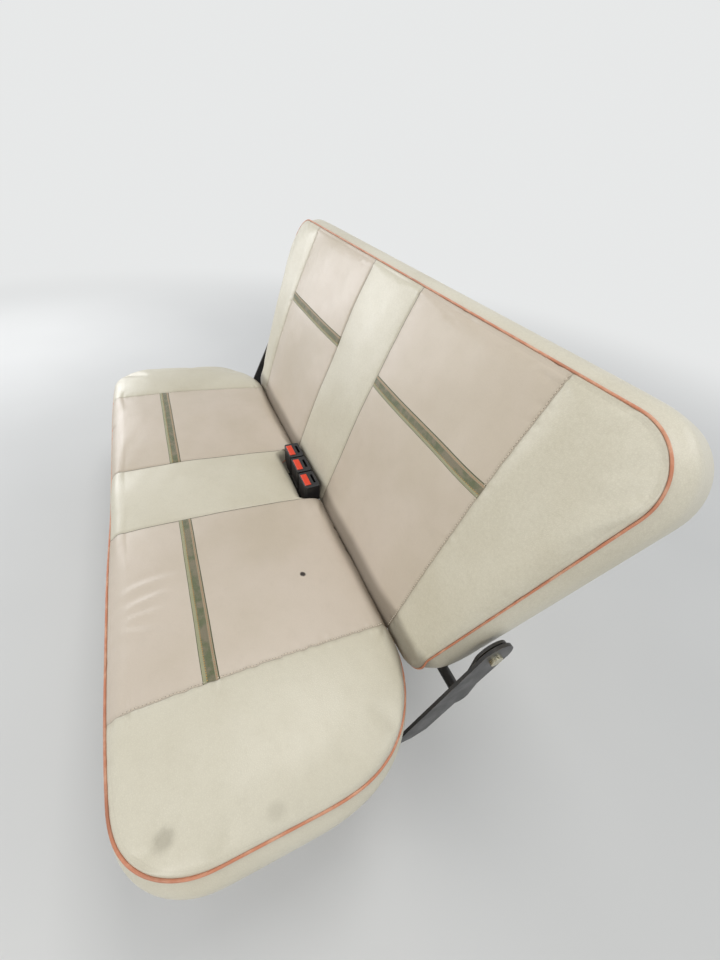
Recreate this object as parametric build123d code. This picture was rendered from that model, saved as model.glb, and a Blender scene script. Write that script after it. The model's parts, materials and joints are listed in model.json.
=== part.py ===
"""Folding rear bench seat of a small hatchback: a padded cushion on a sprung tube frame that tips
forward on two floor hinges, and a padded backrest that folds down onto the cushion.

Millimetres and degrees. X runs along the bench, -Y is the way the sitter faces, Z is up. The origin
is on the floor, in the middle of the four floor bolts, straight under the front hinge axis.

Two slanted frames carry most pieces, both with their origin on the crease where the backrest meets
the cushion: SEAT (x, back along the cushion, out of it) and BACK (x, back through the backrest, up it).
"""
from build123d import *
import os
from math import hypot, radians, sin, sqrt

# The crease between cushion and backrest, and the two slopes
CREASE_Y = 400.0
CREASE_Z = 310.0
SEAT_TILT = 4.0
BACK_ANGLE = 16.5

# Cushion
SEAT_HALF_WIDTH = 622.0
SEAT_FRONT = 413.0
SEAT_REAR = -2.0
SEAT_FRONT_CORNER = 107.0
SEAT_REAR_CORNER = 187.0
SEAT_BAND = 76.0
SEAT_CROWN = 15.0
SEAT_CROWN_TOP = 8.0
SEAT_EDGE_ROLL = 22.0

# Backrest
BACK_INSIDE_SEAT = 17.0
BACK_TAPER = 96.0
BACK_BOTTOM = -28.0
BACK_TOP = 475.0
BACK_LOW_CORNER = 60.0
BACK_HIGH_CORNER = 85.0
BACK_PAD_DEPTH = 78.0
BACK_CROWN = 13.0
BACK_CROWN_FRONT = 7.0
BACK_EDGE_ROLL = 22.0
PANEL_THICK = 3.0
PANEL_INSET = 13.0

# Tubes and wire
BASE_TUBE_R = 11.0
STAY_TUBE_R = 8.0
REAR_LEG_R = 10.0
STRETCHER_R = 8.0
STRETCHER_HEIGHT = 95.0
BACK_TUBE_R = 10.0
TUBE_INSET = 9.0
LOW_RAIL_R = 9.0
LOW_RAIL_BELOW_PAD = 1.0
STAY_INSIDE_LEG = 60.0
JOINT_INSIDE_LEG = 100.0
SPRING_WIRE_R = 1.9
SPRINGS = 5
SPRING_BEYOND_LEG = 10.0
SPRING_HALF_WIDTH = 24.0
SPRING_BEND_R = 21.0
SPRING_END_GAP = 16.0
SPRING_BARS = 8
CLIP_WIDTH = 18.0
CLIP_WALL = 1.6

# Front legs, floor hinges and rear feet
LEG_INSIDE_CORNER = 35.0
HINGE_HEIGHT = 40.0
PIN_R = 6.0
PIN_HEAD_R = 9.0
PIN_HEAD_THICK = 3.5
EYE_R = 14.0
EYE_WIDTH = 30.0
EAR_THICK = 4.0
EAR_R = 16.0
EAR_FOOT = 44.0
FOOT_PLATE_WIDTH = 52.0
FOOT_PLATE_LENGTH = 100.0
FOOT_PLATE_THICK = 4.0
FOOT_PLATE_ROUND = 10.0
BOLT_SPACING = 68.0
BOLT_HOLE_R = 4.5
REAR_FOOT_BACK = 70.0
RUBBER_R = 19.0
RUBBER_TOP_R = 17.5
RUBBER_HEIGHT = 34.0
RUBBER_FLOOR = 10.0

# Backrest hinges, measured in the BACK frame
PIVOT_UP = 102.0
PIVOT_DEPTH = 45.0
ARM_BESIDE_PAD = 6.0
ARM_THICK = 4.0
ARM_BOSS_R = 26.0
ARM_FOOT_R = 16.0
PLATE_GAP = 3.0
PLATE_THICK = 5.0
PLATE_BOSS_R = 30.0
PLATE_BEHIND_PAD = 8.0
PLATE_AHEAD_OF_TUBE = 40.0
PLATE_FOOT_DEPTH = 26.0
PLATE_WAIST = 52.0
PLATE_CHAMFER = 12.0
FLANGE_WIDTH = 46.0
FLANGE_THICK = 4.0
STOP_PIN_R = 5.0
PIVOT_HEAD_R = 11.0
PIVOT_HEAD_THICK = 3.5
PIVOT_NUT_R = 10.0
PIVOT_NUT_THICK = 5.0

# Belt buckles, in the crease at the middle of the bench
BUCKLE_XS = {"left": 57.0, "centre": 0.0, "right": -57.0}
BUCKLE_WIDTH = 53.0
BUCKLE_THICK = 34.0
BUCKLE_LENGTH = 62.0
BUCKLE_BOTTOM_Z = -38.0
BUCKLE_WAIST_WIDTH = 36.0
BUCKLE_WAIST_THICK = 30.0
BUCKLE_SHOULDER = 22.0
TONGUE_SLOT = (28.0, 5.4, 26.0)
TONGUE_SLOT_BACK = 8.5
BUCKLE_AHEAD = 13.0
BUCKLE_ROUND = 5.0
BUTTON = (37.0, 13.5, 9.0)
BUTTON_FORWARD = 8.0
BUTTON_PROUD = 1.5
BUTTON_ROUND = 1.4
STALK_WIDTH = 30.0
STALK_THICK = 3.0
STALK_END = 5.0
STALK_INTO = 8.0
ANCHOR_BESIDE_BOLT = 23.0
ANCHOR_THICK = 5.0
ANCHOR_WELD = 2.0
ANCHOR_DROP = 132.0
ANCHOR_BOLT_DROP = 114.0
ANCHOR_BOLT_R = 9.5
ANCHOR_BOLT_HEAD = 6.0
ANCHOR_ROUND = 8.0
BUCKLE_SLOT_SPARE = 3.0

# Running clearances
SEAT_GAP = 0.3
BORE_SPARE = 0.05

SIDES = {"left": 1.0, "right": -1.0}
SEAT = Pos(0, CREASE_Y, CREASE_Z) * Rot(-SEAT_TILT, 0, 0)
BACK = Pos(0, CREASE_Y, CREASE_Z) * Rot(-SEAT_TILT - BACK_ANGLE, 0, 0)
BACK_IN_SEAT = Rot(-BACK_ANGLE, 0, 0)

# Levels in the SEAT frame that several pieces share
SEAT_BOTTOM = -SEAT_BAND
HOOP_FRONT = -SEAT_FRONT + TUBE_INSET + BASE_TUBE_R
HOOP_REAR = SEAT_REAR - TUBE_INSET - BASE_TUBE_R
HOOP_SIDE = SEAT_HALF_WIDTH - TUBE_INSET - BASE_TUBE_R
HOOP_LEVEL = SEAT_BOTTOM - SEAT_GAP - BASE_TUBE_R
SPRING_LEVEL = SEAT_BOTTOM - SEAT_GAP - CLIP_WALL - SPRING_WIRE_R
LEG_X = SEAT_HALF_WIDTH - SEAT_REAR_CORNER - LEG_INSIDE_CORNER
STAY_X = LEG_X - STAY_INSIDE_LEG
RAIL_JOINT_X = LEG_X - JOINT_INSIDE_LEG
SPRING_OUTER_X = LEG_X + SPRING_BEYOND_LEG
STRAP_FRONT = HOOP_REAR + BASE_TUBE_R - ANCHOR_WELD + ANCHOR_THICK
STRAP_Y = STRAP_FRONT + STALK_THICK / 2

# Levels in the BACK frame that several pieces share
BACK_HOOP_DEPTH = BACK_PAD_DEPTH + SEAT_GAP + BACK_TUBE_R
PANEL_DEPTH = BACK_HOOP_DEPTH + BACK_TUBE_R
LOW_RAIL_UP = BACK_BOTTOM - LOW_RAIL_BELOW_PAD - LOW_RAIL_R
BACK_HALF_HIGH = SEAT_HALF_WIDTH - BACK_INSIDE_SEAT
BACK_HALF_LOW = BACK_HALF_HIGH - BACK_TAPER
BACK_SLOPE = BACK_TAPER / (BACK_TOP - BACK_BOTTOM)
ARM_X = BACK_HALF_LOW + BACK_SLOPE * (PIVOT_UP + ARM_BOSS_R - BACK_BOTTOM) + ARM_BESIDE_PAD
PLATE_X = ARM_X + ARM_THICK + PLATE_GAP


def in_seat(y, z):
    """The point of the middle plane that lies y back and z out of the cushion, in the row frame."""
    return (SEAT * Pos(0, y, z)).position


def tube(path, radius):
    """A round bar that follows a path."""
    return sweep(Plane(origin=path @ 0, z_dir=path % 0) * Circle(radius), path=path)


def rod(start, end, radius):
    """A round bar between two points."""
    return tube(Line(start, end), radius)


def bar_across(x0, x1, y, z, radius):
    """A round bar along X."""
    return rod((x0, y, z), (x1, y, z), radius)


def plate_across(sketches, x, thick):
    """Outlines drawn with Y to the right and Z up, set upright at x, made thick along +X and joined."""
    plates = [extrude(Plane.YZ * sketch, amount=thick, dir=(1, 0, 0)) for sketch in sketches]
    return Pos(x, 0, 0) * (plates[0] + plates[1:])


def sided(x, thick, side):
    """The X at which a plate starts, so that it lies from x to x + thick away from the middle."""
    return x if side > 0 else -x - thick


def strap(a, radius_a, b, radius_b):
    """The outline of a strap that wraps two circles."""
    return make_hull((Pos(*a) * Circle(radius_a)).edges() + (Pos(*b) * Circle(radius_b)).edges())


def seat_outline(inset=0.0):
    """The cushion seen from above: tight front corners, and wide rear ones that clear the wheel arches."""
    middle = (SEAT_REAR - SEAT_FRONT) / 2
    face = Pos(0, middle) * Rectangle(2 * (SEAT_HALF_WIDTH - inset), SEAT_FRONT + SEAT_REAR - 2 * inset)
    face = fillet(face.vertices().group_by(Axis.Y)[0], SEAT_FRONT_CORNER - inset)
    return fillet(face.vertices().group_by(Axis.Y)[-1], SEAT_REAR_CORNER - inset)


def rear_corner_y(x, inset):
    """How far back the cushion's rear corner, or a line inset from it, reaches at an x along the bench."""
    radius = SEAT_REAR_CORNER - inset
    beside = min(max(x - SEAT_HALF_WIDTH + SEAT_REAR_CORNER, 0), radius)
    return SEAT_REAR - SEAT_REAR_CORNER + sqrt(radius ** 2 - beside ** 2)


def inset_half_width(up, inset):
    """Half the backrest's width at a height, less an inset measured square to its slanted side: it widens
    above the wheel arches."""
    return BACK_HALF_LOW + BACK_SLOPE * (up - BACK_BOTTOM) - inset * hypot(1, BACK_SLOPE)


def back_outline(inset=0.0):
    """The backrest seen square on, as a sketch with X to the right and its height as Y."""
    low = BACK_BOTTOM + inset
    high = BACK_TOP - inset
    at_low = inset_half_width(low, inset)
    at_high = inset_half_width(high, inset)
    face = Polygon((-at_low, low), (at_low, low), (at_high, high), (-at_high, high), align=None)
    face = fillet(face.vertices().group_by(Axis.Y)[-1], BACK_HIGH_CORNER - inset)
    return fillet(face.vertices().group_by(Axis.Y)[0], BACK_LOW_CORNER - inset)


def back_slab(sketch, depth_from, depth_to):
    """A backrest outline made solid between two depths behind its front plane."""
    return Pos(0, depth_from, 0) * extrude(Plane.XZ * sketch, amount=depth_to - depth_from, dir=(0, 1, 0))


def crown_radius(chord, rise):
    """The radius of an arc of that chord and rise."""
    return chord ** 2 / (8 * rise) + rise / 2


def seat_pad():
    """Foam and cover in one: crowned from front to rear, rolled at its top edge, with a notch at the rear
    for the belt buckles."""
    radius = crown_radius(SEAT_FRONT + SEAT_REAR, SEAT_CROWN)
    middle = (SEAT_REAR - SEAT_FRONT) / 2
    block = Pos(0, 0, SEAT_BOTTOM) * extrude(seat_outline(), amount=SEAT_BAND + 2 * SEAT_CROWN)
    reach = SEAT_HALF_WIDTH + SEAT_EDGE_ROLL
    pad = block & bar_across(-reach, reach, middle, SEAT_CROWN_TOP - radius, radius)
    top = pad.faces().sort_by(Axis.Z)[-1]
    pad = fillet(top.edges(), SEAT_EDGE_ROLL)
    half = BUCKLE_XS["left"] + BUCKLE_WIDTH / 2 + BUCKLE_SLOT_SPARE
    lean = BUCKLE_LENGTH * sin(radians(SEAT_TILT))
    front = STRAP_Y - BUCKLE_AHEAD - BUCKLE_THICK / 2 - BUCKLE_SLOT_SPARE - lean
    depth = SEAT_REAR - front + SEAT_EDGE_ROLL
    notch = Pos(0, front + depth / 2, 0) * Box(2 * half, depth, 3 * SEAT_BAND)
    return SEAT * (pad - notch)


def base_hoop():
    """The bent tube under the cushion's front, sides and rear corners."""
    corner_front = SEAT_FRONT_CORNER - TUBE_INSET - BASE_TUBE_R
    corner_rear = SEAT_REAR_CORNER - TUBE_INSET - BASE_TUBE_R
    path = FilletPolyline(
        (RAIL_JOINT_X, HOOP_REAR, HOOP_LEVEL),
        (HOOP_SIDE, HOOP_REAR, HOOP_LEVEL),
        (HOOP_SIDE, HOOP_FRONT, HOOP_LEVEL),
        (-HOOP_SIDE, HOOP_FRONT, HOOP_LEVEL),
        (-HOOP_SIDE, HOOP_REAR, HOOP_LEVEL),
        (-RAIL_JOINT_X, HOOP_REAR, HOOP_LEVEL),
        radius=[corner_rear, corner_front, corner_front, corner_rear],
    )
    return SEAT * tube(path, BASE_TUBE_R)


def base_rear_rail():
    """The straight tube that closes the hoop behind."""
    return SEAT * bar_across(-RAIL_JOINT_X, RAIL_JOINT_X, HOOP_REAR, HOOP_LEVEL, BASE_TUBE_R)


def straight_runs():
    """The frame's straight front and rear runs: what meets them is coped by these."""
    runs = []
    for y, corner in ((HOOP_FRONT, SEAT_FRONT_CORNER), (HOOP_REAR, SEAT_REAR_CORNER)):
        reach = SEAT_HALF_WIDTH - corner
        runs.append(SEAT * bar_across(-reach, reach, y, HOOP_LEVEL, BASE_TUBE_R))
    return runs


def base_stay(side):
    """A fore-and-aft tube, coped to the front and rear tubes."""
    front, rear = straight_runs()
    stay = rod((side * STAY_X, HOOP_FRONT, HOOP_LEVEL), (side * STAY_X, HOOP_REAR, HOOP_LEVEL), STAY_TUBE_R)
    return SEAT * stay - front - rear


def spring_path(x):
    """One sinuous spring, seen from above: bars across, joined by tight bends at alternate ends. The bends
    stay just under half the bars' pitch, so that each pair meets in a half circle."""
    first = HOOP_FRONT + SPRING_END_GAP
    pitch = (HOOP_REAR - HOOP_FRONT - 2 * SPRING_END_GAP) / (SPRING_BARS - 1)
    points = []
    for bar in range(SPRING_BARS):
        near, far = (-1, 1) if bar % 2 == 0 else (1, -1)
        for way in (near, far):
            points.append((x + way * SPRING_HALF_WIDTH, first + bar * pitch, SPRING_LEVEL))
    return FilletPolyline(*points, radius=min(SPRING_BEND_R, 0.48 * pitch))


def spring_xs():
    """Where the springs lie along the bench, evenly spaced."""
    return [SPRING_OUTER_X * (2 * i / (SPRINGS - 1) - 1) for i in range(SPRINGS)]


def seat_springs():
    """The sinuous springs under the cushion. Their wire has six flats, to keep its mesh light."""
    springs = []
    for x in spring_xs():
        path = spring_path(x)
        section = Plane(origin=path @ 0, z_dir=path % 0) * RegularPolygon(SPRING_WIRE_R, 6)
        springs.append(SEAT * sweep(section, path=path))
    return springs


def spring_clips():
    """A clip at each end of each spring: it is welded to the tube and closes round the end bar."""
    clips = []
    front, rear = straight_runs()
    low = SPRING_LEVEL - SPRING_WIRE_R - CLIP_WALL
    high = SPRING_LEVEL + SPRING_WIRE_R + CLIP_WALL
    for x in spring_xs():
        for tube_y, inward in ((HOOP_FRONT, 1), (HOOP_REAR, -1)):
            bar_y = tube_y + inward * SPRING_END_GAP
            near = tube_y + inward * BASE_TUBE_R / 2
            far = bar_y + inward * (SPRING_WIRE_R + CLIP_WALL)
            middle = x - CLIP_WIDTH / 2
            block = Box(CLIP_WIDTH, abs(far - near), high - low)
            clip = Pos(middle, (near + far) / 2, (low + high) / 2) * block
            wire = bar_across(x - SPRING_HALF_WIDTH, x + CLIP_WIDTH / 2, bar_y, SPRING_LEVEL, SPRING_WIRE_R)
            clips.append(SEAT * (clip - wire) - front - rear)
    return clips


def front_leg(side):
    """A leg from the front tube down to an eye on the floor hinge's pin."""
    x = side * LEG_X
    top = in_seat(HOOP_FRONT, HOOP_LEVEL)
    leg = rod((x, 0, HINGE_HEIGHT), (x, top.Y, top.Z), BASE_TUBE_R)
    eye = bar_across(x - EYE_WIDTH / 2, x + EYE_WIDTH / 2, 0, HINGE_HEIGHT, EYE_R)
    bore = bar_across(x - EYE_WIDTH, x + EYE_WIDTH, 0, HINGE_HEIGHT, PIN_R + BORE_SPARE)
    return leg + eye - bore - straight_runs()[0]


def floor_bracket(side):
    """A floor hinge: a plate with two bolt holes and two ears."""
    x = side * LEG_X
    plate = Pos(x, 0, FOOT_PLATE_THICK / 2) * Box(FOOT_PLATE_WIDTH, FOOT_PLATE_LENGTH, FOOT_PLATE_THICK)
    plate = fillet(plate.edges().filter_by(Axis.Z), FOOT_PLATE_ROUND)
    base = Polygon(
        (-EAR_FOOT / 2, FOOT_PLATE_THICK), (EAR_FOOT / 2, FOOT_PLATE_THICK), (0, HINGE_HEIGHT), align=None
    )
    ear = make_hull(base.edges() + (Pos(0, HINGE_HEIGHT) * Circle(EAR_R)).edges())
    inner = EYE_WIDTH / 2 + SEAT_GAP
    ears = [plate_across([ear], x + start, EAR_THICK) for start in (inner, -inner - EAR_THICK)]
    bore = bar_across(x - FOOT_PLATE_WIDTH, x + FOOT_PLATE_WIDTH, 0, HINGE_HEIGHT, PIN_R)
    places = (-BOLT_SPACING / 2, BOLT_SPACING / 2)
    holes = [Pos(x, y, 0) * Cylinder(BOLT_HOLE_R, 3 * FOOT_PLATE_THICK) for y in places]
    return plate + ears - bore - holes


def floor_pin(side):
    """The headed pin of a floor hinge, with a retaining ring at its inner end."""
    outer = EYE_WIDTH / 2 + SEAT_GAP + EAR_THICK
    x = side * LEG_X
    pin = bar_across(x - outer - PIN_HEAD_THICK, x + outer + PIN_HEAD_THICK, 0, HINGE_HEIGHT, PIN_R)
    for way in (1, -1):
        pin += bar_across(x + way * outer, x + way * (outer + PIN_HEAD_THICK), 0, HINGE_HEIGHT, PIN_HEAD_R)
    return pin


def rear_leg_place(height):
    """The (y, z) of a point on the rear legs' slanted centre line."""
    top = in_seat(HOOP_REAR, HOOP_LEVEL)
    share = (top.Z - height) / (top.Z - RUBBER_FLOOR)
    return top.Y + REAR_FOOT_BACK * share, height


def rear_leg(side):
    """A leg that slants back from the rear tube into its rubber foot."""
    x = side * LEG_X
    top = in_seat(HOOP_REAR, HOOP_LEVEL).Z
    return rod((x, *rear_leg_place(RUBBER_FLOOR)), (x, *rear_leg_place(top)), REAR_LEG_R) - straight_runs()[1]


def rear_foot(side, leg):
    """A tapered rubber foot, moulded round the leg's end, with a flat sole."""
    y, middle = rear_leg_place(RUBBER_HEIGHT / 2)
    profile = Polygon(
        (0, 0), (RUBBER_R, 0), (RUBBER_R, RUBBER_HEIGHT / 4), (RUBBER_TOP_R, RUBBER_HEIGHT),
        (0, RUBBER_HEIGHT), align=None,
    )
    return Pos(side * LEG_X, y, 0) * revolve(Plane.XZ * profile, Axis.Z) - leg


def rear_stretcher(legs):
    """The tube that ties the rear legs together."""
    return bar_across(-LEG_X, LEG_X, *rear_leg_place(STRETCHER_HEIGHT), STRETCHER_R) - legs


def pivot_in_seat():
    """The backrest's hinge axis as (y, z) in the SEAT frame."""
    place = (BACK_IN_SEAT * Pos(0, PIVOT_DEPTH, PIVOT_UP)).position
    return place.Y, place.Z


def arm_foot():
    """Where the backrest's low rail lies in the BACK frame, as (depth, height)."""
    return BACK_HOOP_DEPTH, LOW_RAIL_UP


def stop_pin_place():
    """The stop pin's (depth, height) in the BACK frame: just in front of the arm, which leans on it."""
    foot_depth, foot_up = arm_foot()
    arm_y = foot_depth - PIVOT_DEPTH
    arm_z = foot_up - PIVOT_UP
    length = hypot(arm_y, arm_z)
    away = (ARM_BOSS_R + ARM_FOOT_R) / 2 + STOP_PIN_R + 2 * SEAT_GAP
    return PIVOT_DEPTH + arm_y / 2 + away * arm_z / length, PIVOT_UP + arm_z / 2 - away * arm_y / length


def side_plate(side):
    """A pressed bracket that rises behind the cushion to the backrest's hinge. Its foot lies under the
    hoop's rear corner, with a flange turned in along it. Its stop pin is what the backrest's arm leans on."""
    top = HOOP_LEVEL - BASE_TUBE_R
    low = top - PLATE_FOOT_DEPTH
    behind = rear_corner_y(PLATE_X, 0) + PLATE_BEHIND_PAD
    front = rear_corner_y(PLATE_X, TUBE_INSET + BASE_TUBE_R) - PLATE_AHEAD_OF_TUBE
    rear = behind + PLATE_WAIST
    foot = Polygon(
        (front, top), (rear, top), (rear, low + PLATE_CHAMFER), (rear - 2 * PLATE_CHAMFER, low),
        (front + PLATE_CHAMFER, low), align=None,
    )
    root = Polygon((behind, top), (rear, low + PLATE_CHAMFER), (behind, low), align=None)
    web = make_hull(root.edges() + (Pos(*pivot_in_seat()) * Circle(PLATE_BOSS_R)).edges())
    start = sided(PLATE_X, PLATE_THICK, side)
    plate = plate_across([foot, web], start, PLATE_THICK)
    plate -= bar_across(start, start + PLATE_THICK, *pivot_in_seat(), PIN_R)
    flange = Pos(side * (PLATE_X - FLANGE_WIDTH / 2), (front + behind) / 2, top - FLANGE_THICK / 2)
    plate += flange * Box(FLANGE_WIDTH, behind - front, FLANGE_THICK)
    stop = BACK_IN_SEAT * bar_across(side * ARM_X, side * PLATE_X, *stop_pin_place(), STOP_PIN_R)
    return SEAT * (plate + stop)


def back_arm(side):
    """A flat arm from the hinge down to the end of the backrest's low rail."""
    outline = strap((PIVOT_DEPTH, PIVOT_UP), ARM_BOSS_R, arm_foot(), ARM_FOOT_R)
    start = sided(ARM_X, ARM_THICK, side)
    arm = plate_across([outline], start, ARM_THICK)
    return BACK * (arm - bar_across(start, start + ARM_THICK, PIVOT_DEPTH, PIVOT_UP, PIN_R + BORE_SPARE))


def back_pivot(side):
    """The shoulder bolt of the backrest's hinge: head, shank, spacing collar and nut."""
    head = ARM_X - SEAT_GAP - PIVOT_HEAD_THICK
    nut = PLATE_X + PLATE_THICK
    steps = (
        (head, head + PIVOT_HEAD_THICK, PIVOT_HEAD_R),
        (head, nut, PIN_R),
        (ARM_X + ARM_THICK + SEAT_GAP, PLATE_X, PIVOT_HEAD_R),
        (nut, nut + PIVOT_NUT_THICK, PIVOT_NUT_R),
    )
    bolt = [bar_across(side * a, side * b, PIVOT_DEPTH, PIVOT_UP, radius) for a, b, radius in steps]
    return BACK * (bolt[0] + bolt[1:])


def back_pad():
    """The backrest's foam and cover in one: crowned in front and rolled at its edges."""
    radius = crown_radius(BACK_TOP - BACK_BOTTOM, BACK_CROWN)
    middle = (BACK_TOP + BACK_BOTTOM) / 2
    reach = BACK_HALF_HIGH + BACK_EDGE_ROLL
    block = back_slab(back_outline(), -BACK_CROWN, BACK_PAD_DEPTH)
    pad = block & bar_across(-reach, reach, radius - BACK_CROWN_FRONT, middle, radius)
    front = pad.faces().sort_by(Axis.Y)[0]
    return BACK * fillet(front.edges(), BACK_EDGE_ROLL)


def back_hoop(low_rail):
    """The bent tube behind the backrest's pad, coped to the low rail."""
    inset = TUBE_INSET + BACK_TUBE_R
    high = BACK_TOP - inset
    x_foot = inset_half_width(LOW_RAIL_UP, inset)
    x_high = inset_half_width(high, inset)
    path = FilletPolyline(
        (x_foot, BACK_HOOP_DEPTH, LOW_RAIL_UP),
        (x_high, BACK_HOOP_DEPTH, high),
        (-x_high, BACK_HOOP_DEPTH, high),
        (-x_foot, BACK_HOOP_DEPTH, LOW_RAIL_UP),
        radius=BACK_HIGH_CORNER - inset,
    )
    return BACK * tube(path, BACK_TUBE_R) - low_rail


def back_low_rail():
    """The tube across the foot of the backrest, from arm to arm."""
    return BACK * bar_across(-ARM_X, ARM_X, *arm_foot(), LOW_RAIL_R)


def back_panel():
    """The board over the back of the hoop."""
    return BACK * back_slab(back_outline(PANEL_INSET), PANEL_DEPTH, PANEL_DEPTH + PANEL_THICK)


def buckle_place(name):
    """The buckle's own frame: upright, with its base in the crease and its front towards -Y."""
    return SEAT * Pos(BUCKLE_XS[name], STRAP_Y - BUCKLE_AHEAD, BUCKLE_BOTTOM_Z) * Rot(SEAT_TILT, 0, 0)


def buckle_button_block():
    """The room that the press button fills, in the end of the housing on the cushion's side."""
    width, thick, deep = BUTTON
    return Pos(0, -BUTTON_FORWARD, BUCKLE_LENGTH + BUTTON_PROUD - deep / 2) * Box(width, thick, deep)


def buckle_button(name):
    """The press button."""
    button = buckle_button_block()
    return buckle_place(name) * fillet(button.faces().sort_by(Axis.Z)[-1].edges(), BUTTON_ROUND)


def buckle_housing(name):
    """The moulded housing: tapered to its waist, rounded, with the tongue's slot and the button's seat."""
    waist = RectangleRounded(BUCKLE_WAIST_WIDTH, BUCKLE_WAIST_THICK, BUCKLE_ROUND)
    full = RectangleRounded(BUCKLE_WIDTH, BUCKLE_THICK, BUCKLE_ROUND)
    housing = loft([waist, Pos(0, 0, BUCKLE_SHOULDER) * full])
    housing += Pos(0, 0, BUCKLE_SHOULDER) * extrude(full, amount=BUCKLE_LENGTH - BUCKLE_SHOULDER)
    housing = fillet(housing.faces().sort_by(Axis.Z)[-1].edges(), BUTTON_ROUND)
    width, thick, deep = TONGUE_SLOT
    slot = Pos(0, TONGUE_SLOT_BACK, BUCKLE_LENGTH) * Box(width, thick, 2 * deep)
    return buckle_place(name) * (housing - slot - buckle_button_block())


def across_anchor(x, radius):
    """A round bar through the anchor plate and its strap at a buckle's place."""
    start = (x, STRAP_FRONT - ANCHOR_THICK, -ANCHOR_BOLT_DROP)
    return rod(start, (x, STRAP_FRONT + STALK_THICK, -ANCHOR_BOLT_DROP), radius)


def buckle_stalk(name, housing):
    """The webbing strap from the buckle down to its anchor bolt."""
    x = BUCKLE_XS[name]
    strip = Pos(x, STRAP_Y, -ANCHOR_DROP + STALK_END) * Box(
        STALK_WIDTH, STALK_THICK, ANCHOR_DROP - STALK_END + BUCKLE_BOTTOM_Z + STALK_INTO,
        align=(Align.CENTER, Align.CENTER, Align.MIN),
    )
    return SEAT * (strip - across_anchor(x, PIN_R)) - housing


def buckle_anchor(rail):
    """The plate, welded behind the rear rail, that the buckles' straps are bolted to."""
    width = 2 * (BUCKLE_XS["left"] + ANCHOR_BESIDE_BOLT)
    middle = Pos(0, STRAP_FRONT - ANCHOR_THICK / 2, (HOOP_LEVEL - ANCHOR_DROP) / 2)
    plate = middle * Box(width, ANCHOR_THICK, HOOP_LEVEL + ANCHOR_DROP)
    plate = fillet(plate.edges().filter_by(Axis.Y), ANCHOR_ROUND)
    return SEAT * (plate - [across_anchor(x, PIN_R) for x in BUCKLE_XS.values()]) - rail


def anchor_bolts():
    """A hexagon bolt through each strap into the anchor plate."""
    bolts = []
    for x in BUCKLE_XS.values():
        place = Pos(x, STRAP_FRONT + STALK_THICK, -ANCHOR_BOLT_DROP) * Rot(-90, 0, 0)
        head = place * extrude(RegularPolygon(ANCHOR_BOLT_R, 6), amount=ANCHOR_BOLT_HEAD)
        bolts.append(SEAT * (head + across_anchor(x, PIN_R)))
    return bolts


def build():
    """Every node of the bench, by name."""
    rail = base_rear_rail()
    low_rail = back_low_rail()
    nodes = {
        "seat_pad": seat_pad(),
        "base_hoop": base_hoop(),
        "base_rear_rail": rail,
        "seat_springs": Compound(children=seat_springs()),
        "spring_clips": Compound(children=spring_clips()),
        "back_pad": back_pad(),
        "back_hoop": back_hoop(low_rail),
        "back_low_rail": low_rail,
        "back_panel": back_panel(),
        "buckle_anchor": buckle_anchor(rail),
        "anchor_bolts": Compound(children=anchor_bolts()),
    }
    for name in BUCKLE_XS:
        housing = buckle_housing(name)
        nodes["buckle_housing_" + name] = housing
        nodes["buckle_button_" + name] = buckle_button(name)
        nodes["buckle_stalk_" + name] = buckle_stalk(name, housing)
    for name, side in SIDES.items():
        leg = rear_leg(side)
        nodes["base_stay_" + name] = base_stay(side)
        nodes["front_leg_" + name] = front_leg(side)
        nodes["rear_leg_" + name] = leg
        nodes["rear_foot_" + name] = rear_foot(side, leg)
        nodes["floor_bracket_" + name] = floor_bracket(side)
        nodes["floor_pin_" + name] = floor_pin(side)
        nodes["side_plate_" + name] = side_plate(side)
        nodes["back_arm_" + name] = back_arm(side)
        nodes["back_pivot_" + name] = back_pivot(side)
    nodes["rear_stretcher"] = rear_stretcher(nodes["rear_leg_left"] + nodes["rear_leg_right"])
    return nodes


def main():
    os.makedirs("parts", exist_ok=True)
    for name, shape in build().items():
        export_step(shape, "parts/" + name + ".step")


main()
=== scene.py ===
"""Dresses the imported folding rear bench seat: upholstery, piping, woven stripes, stitching, and the
finish of its frame, springs, hinges and buckles. Metres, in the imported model's own frame, called the row
frame here.

Both pads are worked out in a local frame: x along the bench, v along the pad (back along the cushion, or
up the backrest), w out of the pad towards the sitter. The crease is at v = w = 0.
"""
import bpy
import json
import numpy as np
from collections import namedtuple
from functools import cached_property
from math import atan, cos, hypot, pi, radians, sin, sqrt
from mathutils import Euler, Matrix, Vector
from mathutils.bvhtree import BVHTree
from mathutils.kdtree import KDTree

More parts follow.
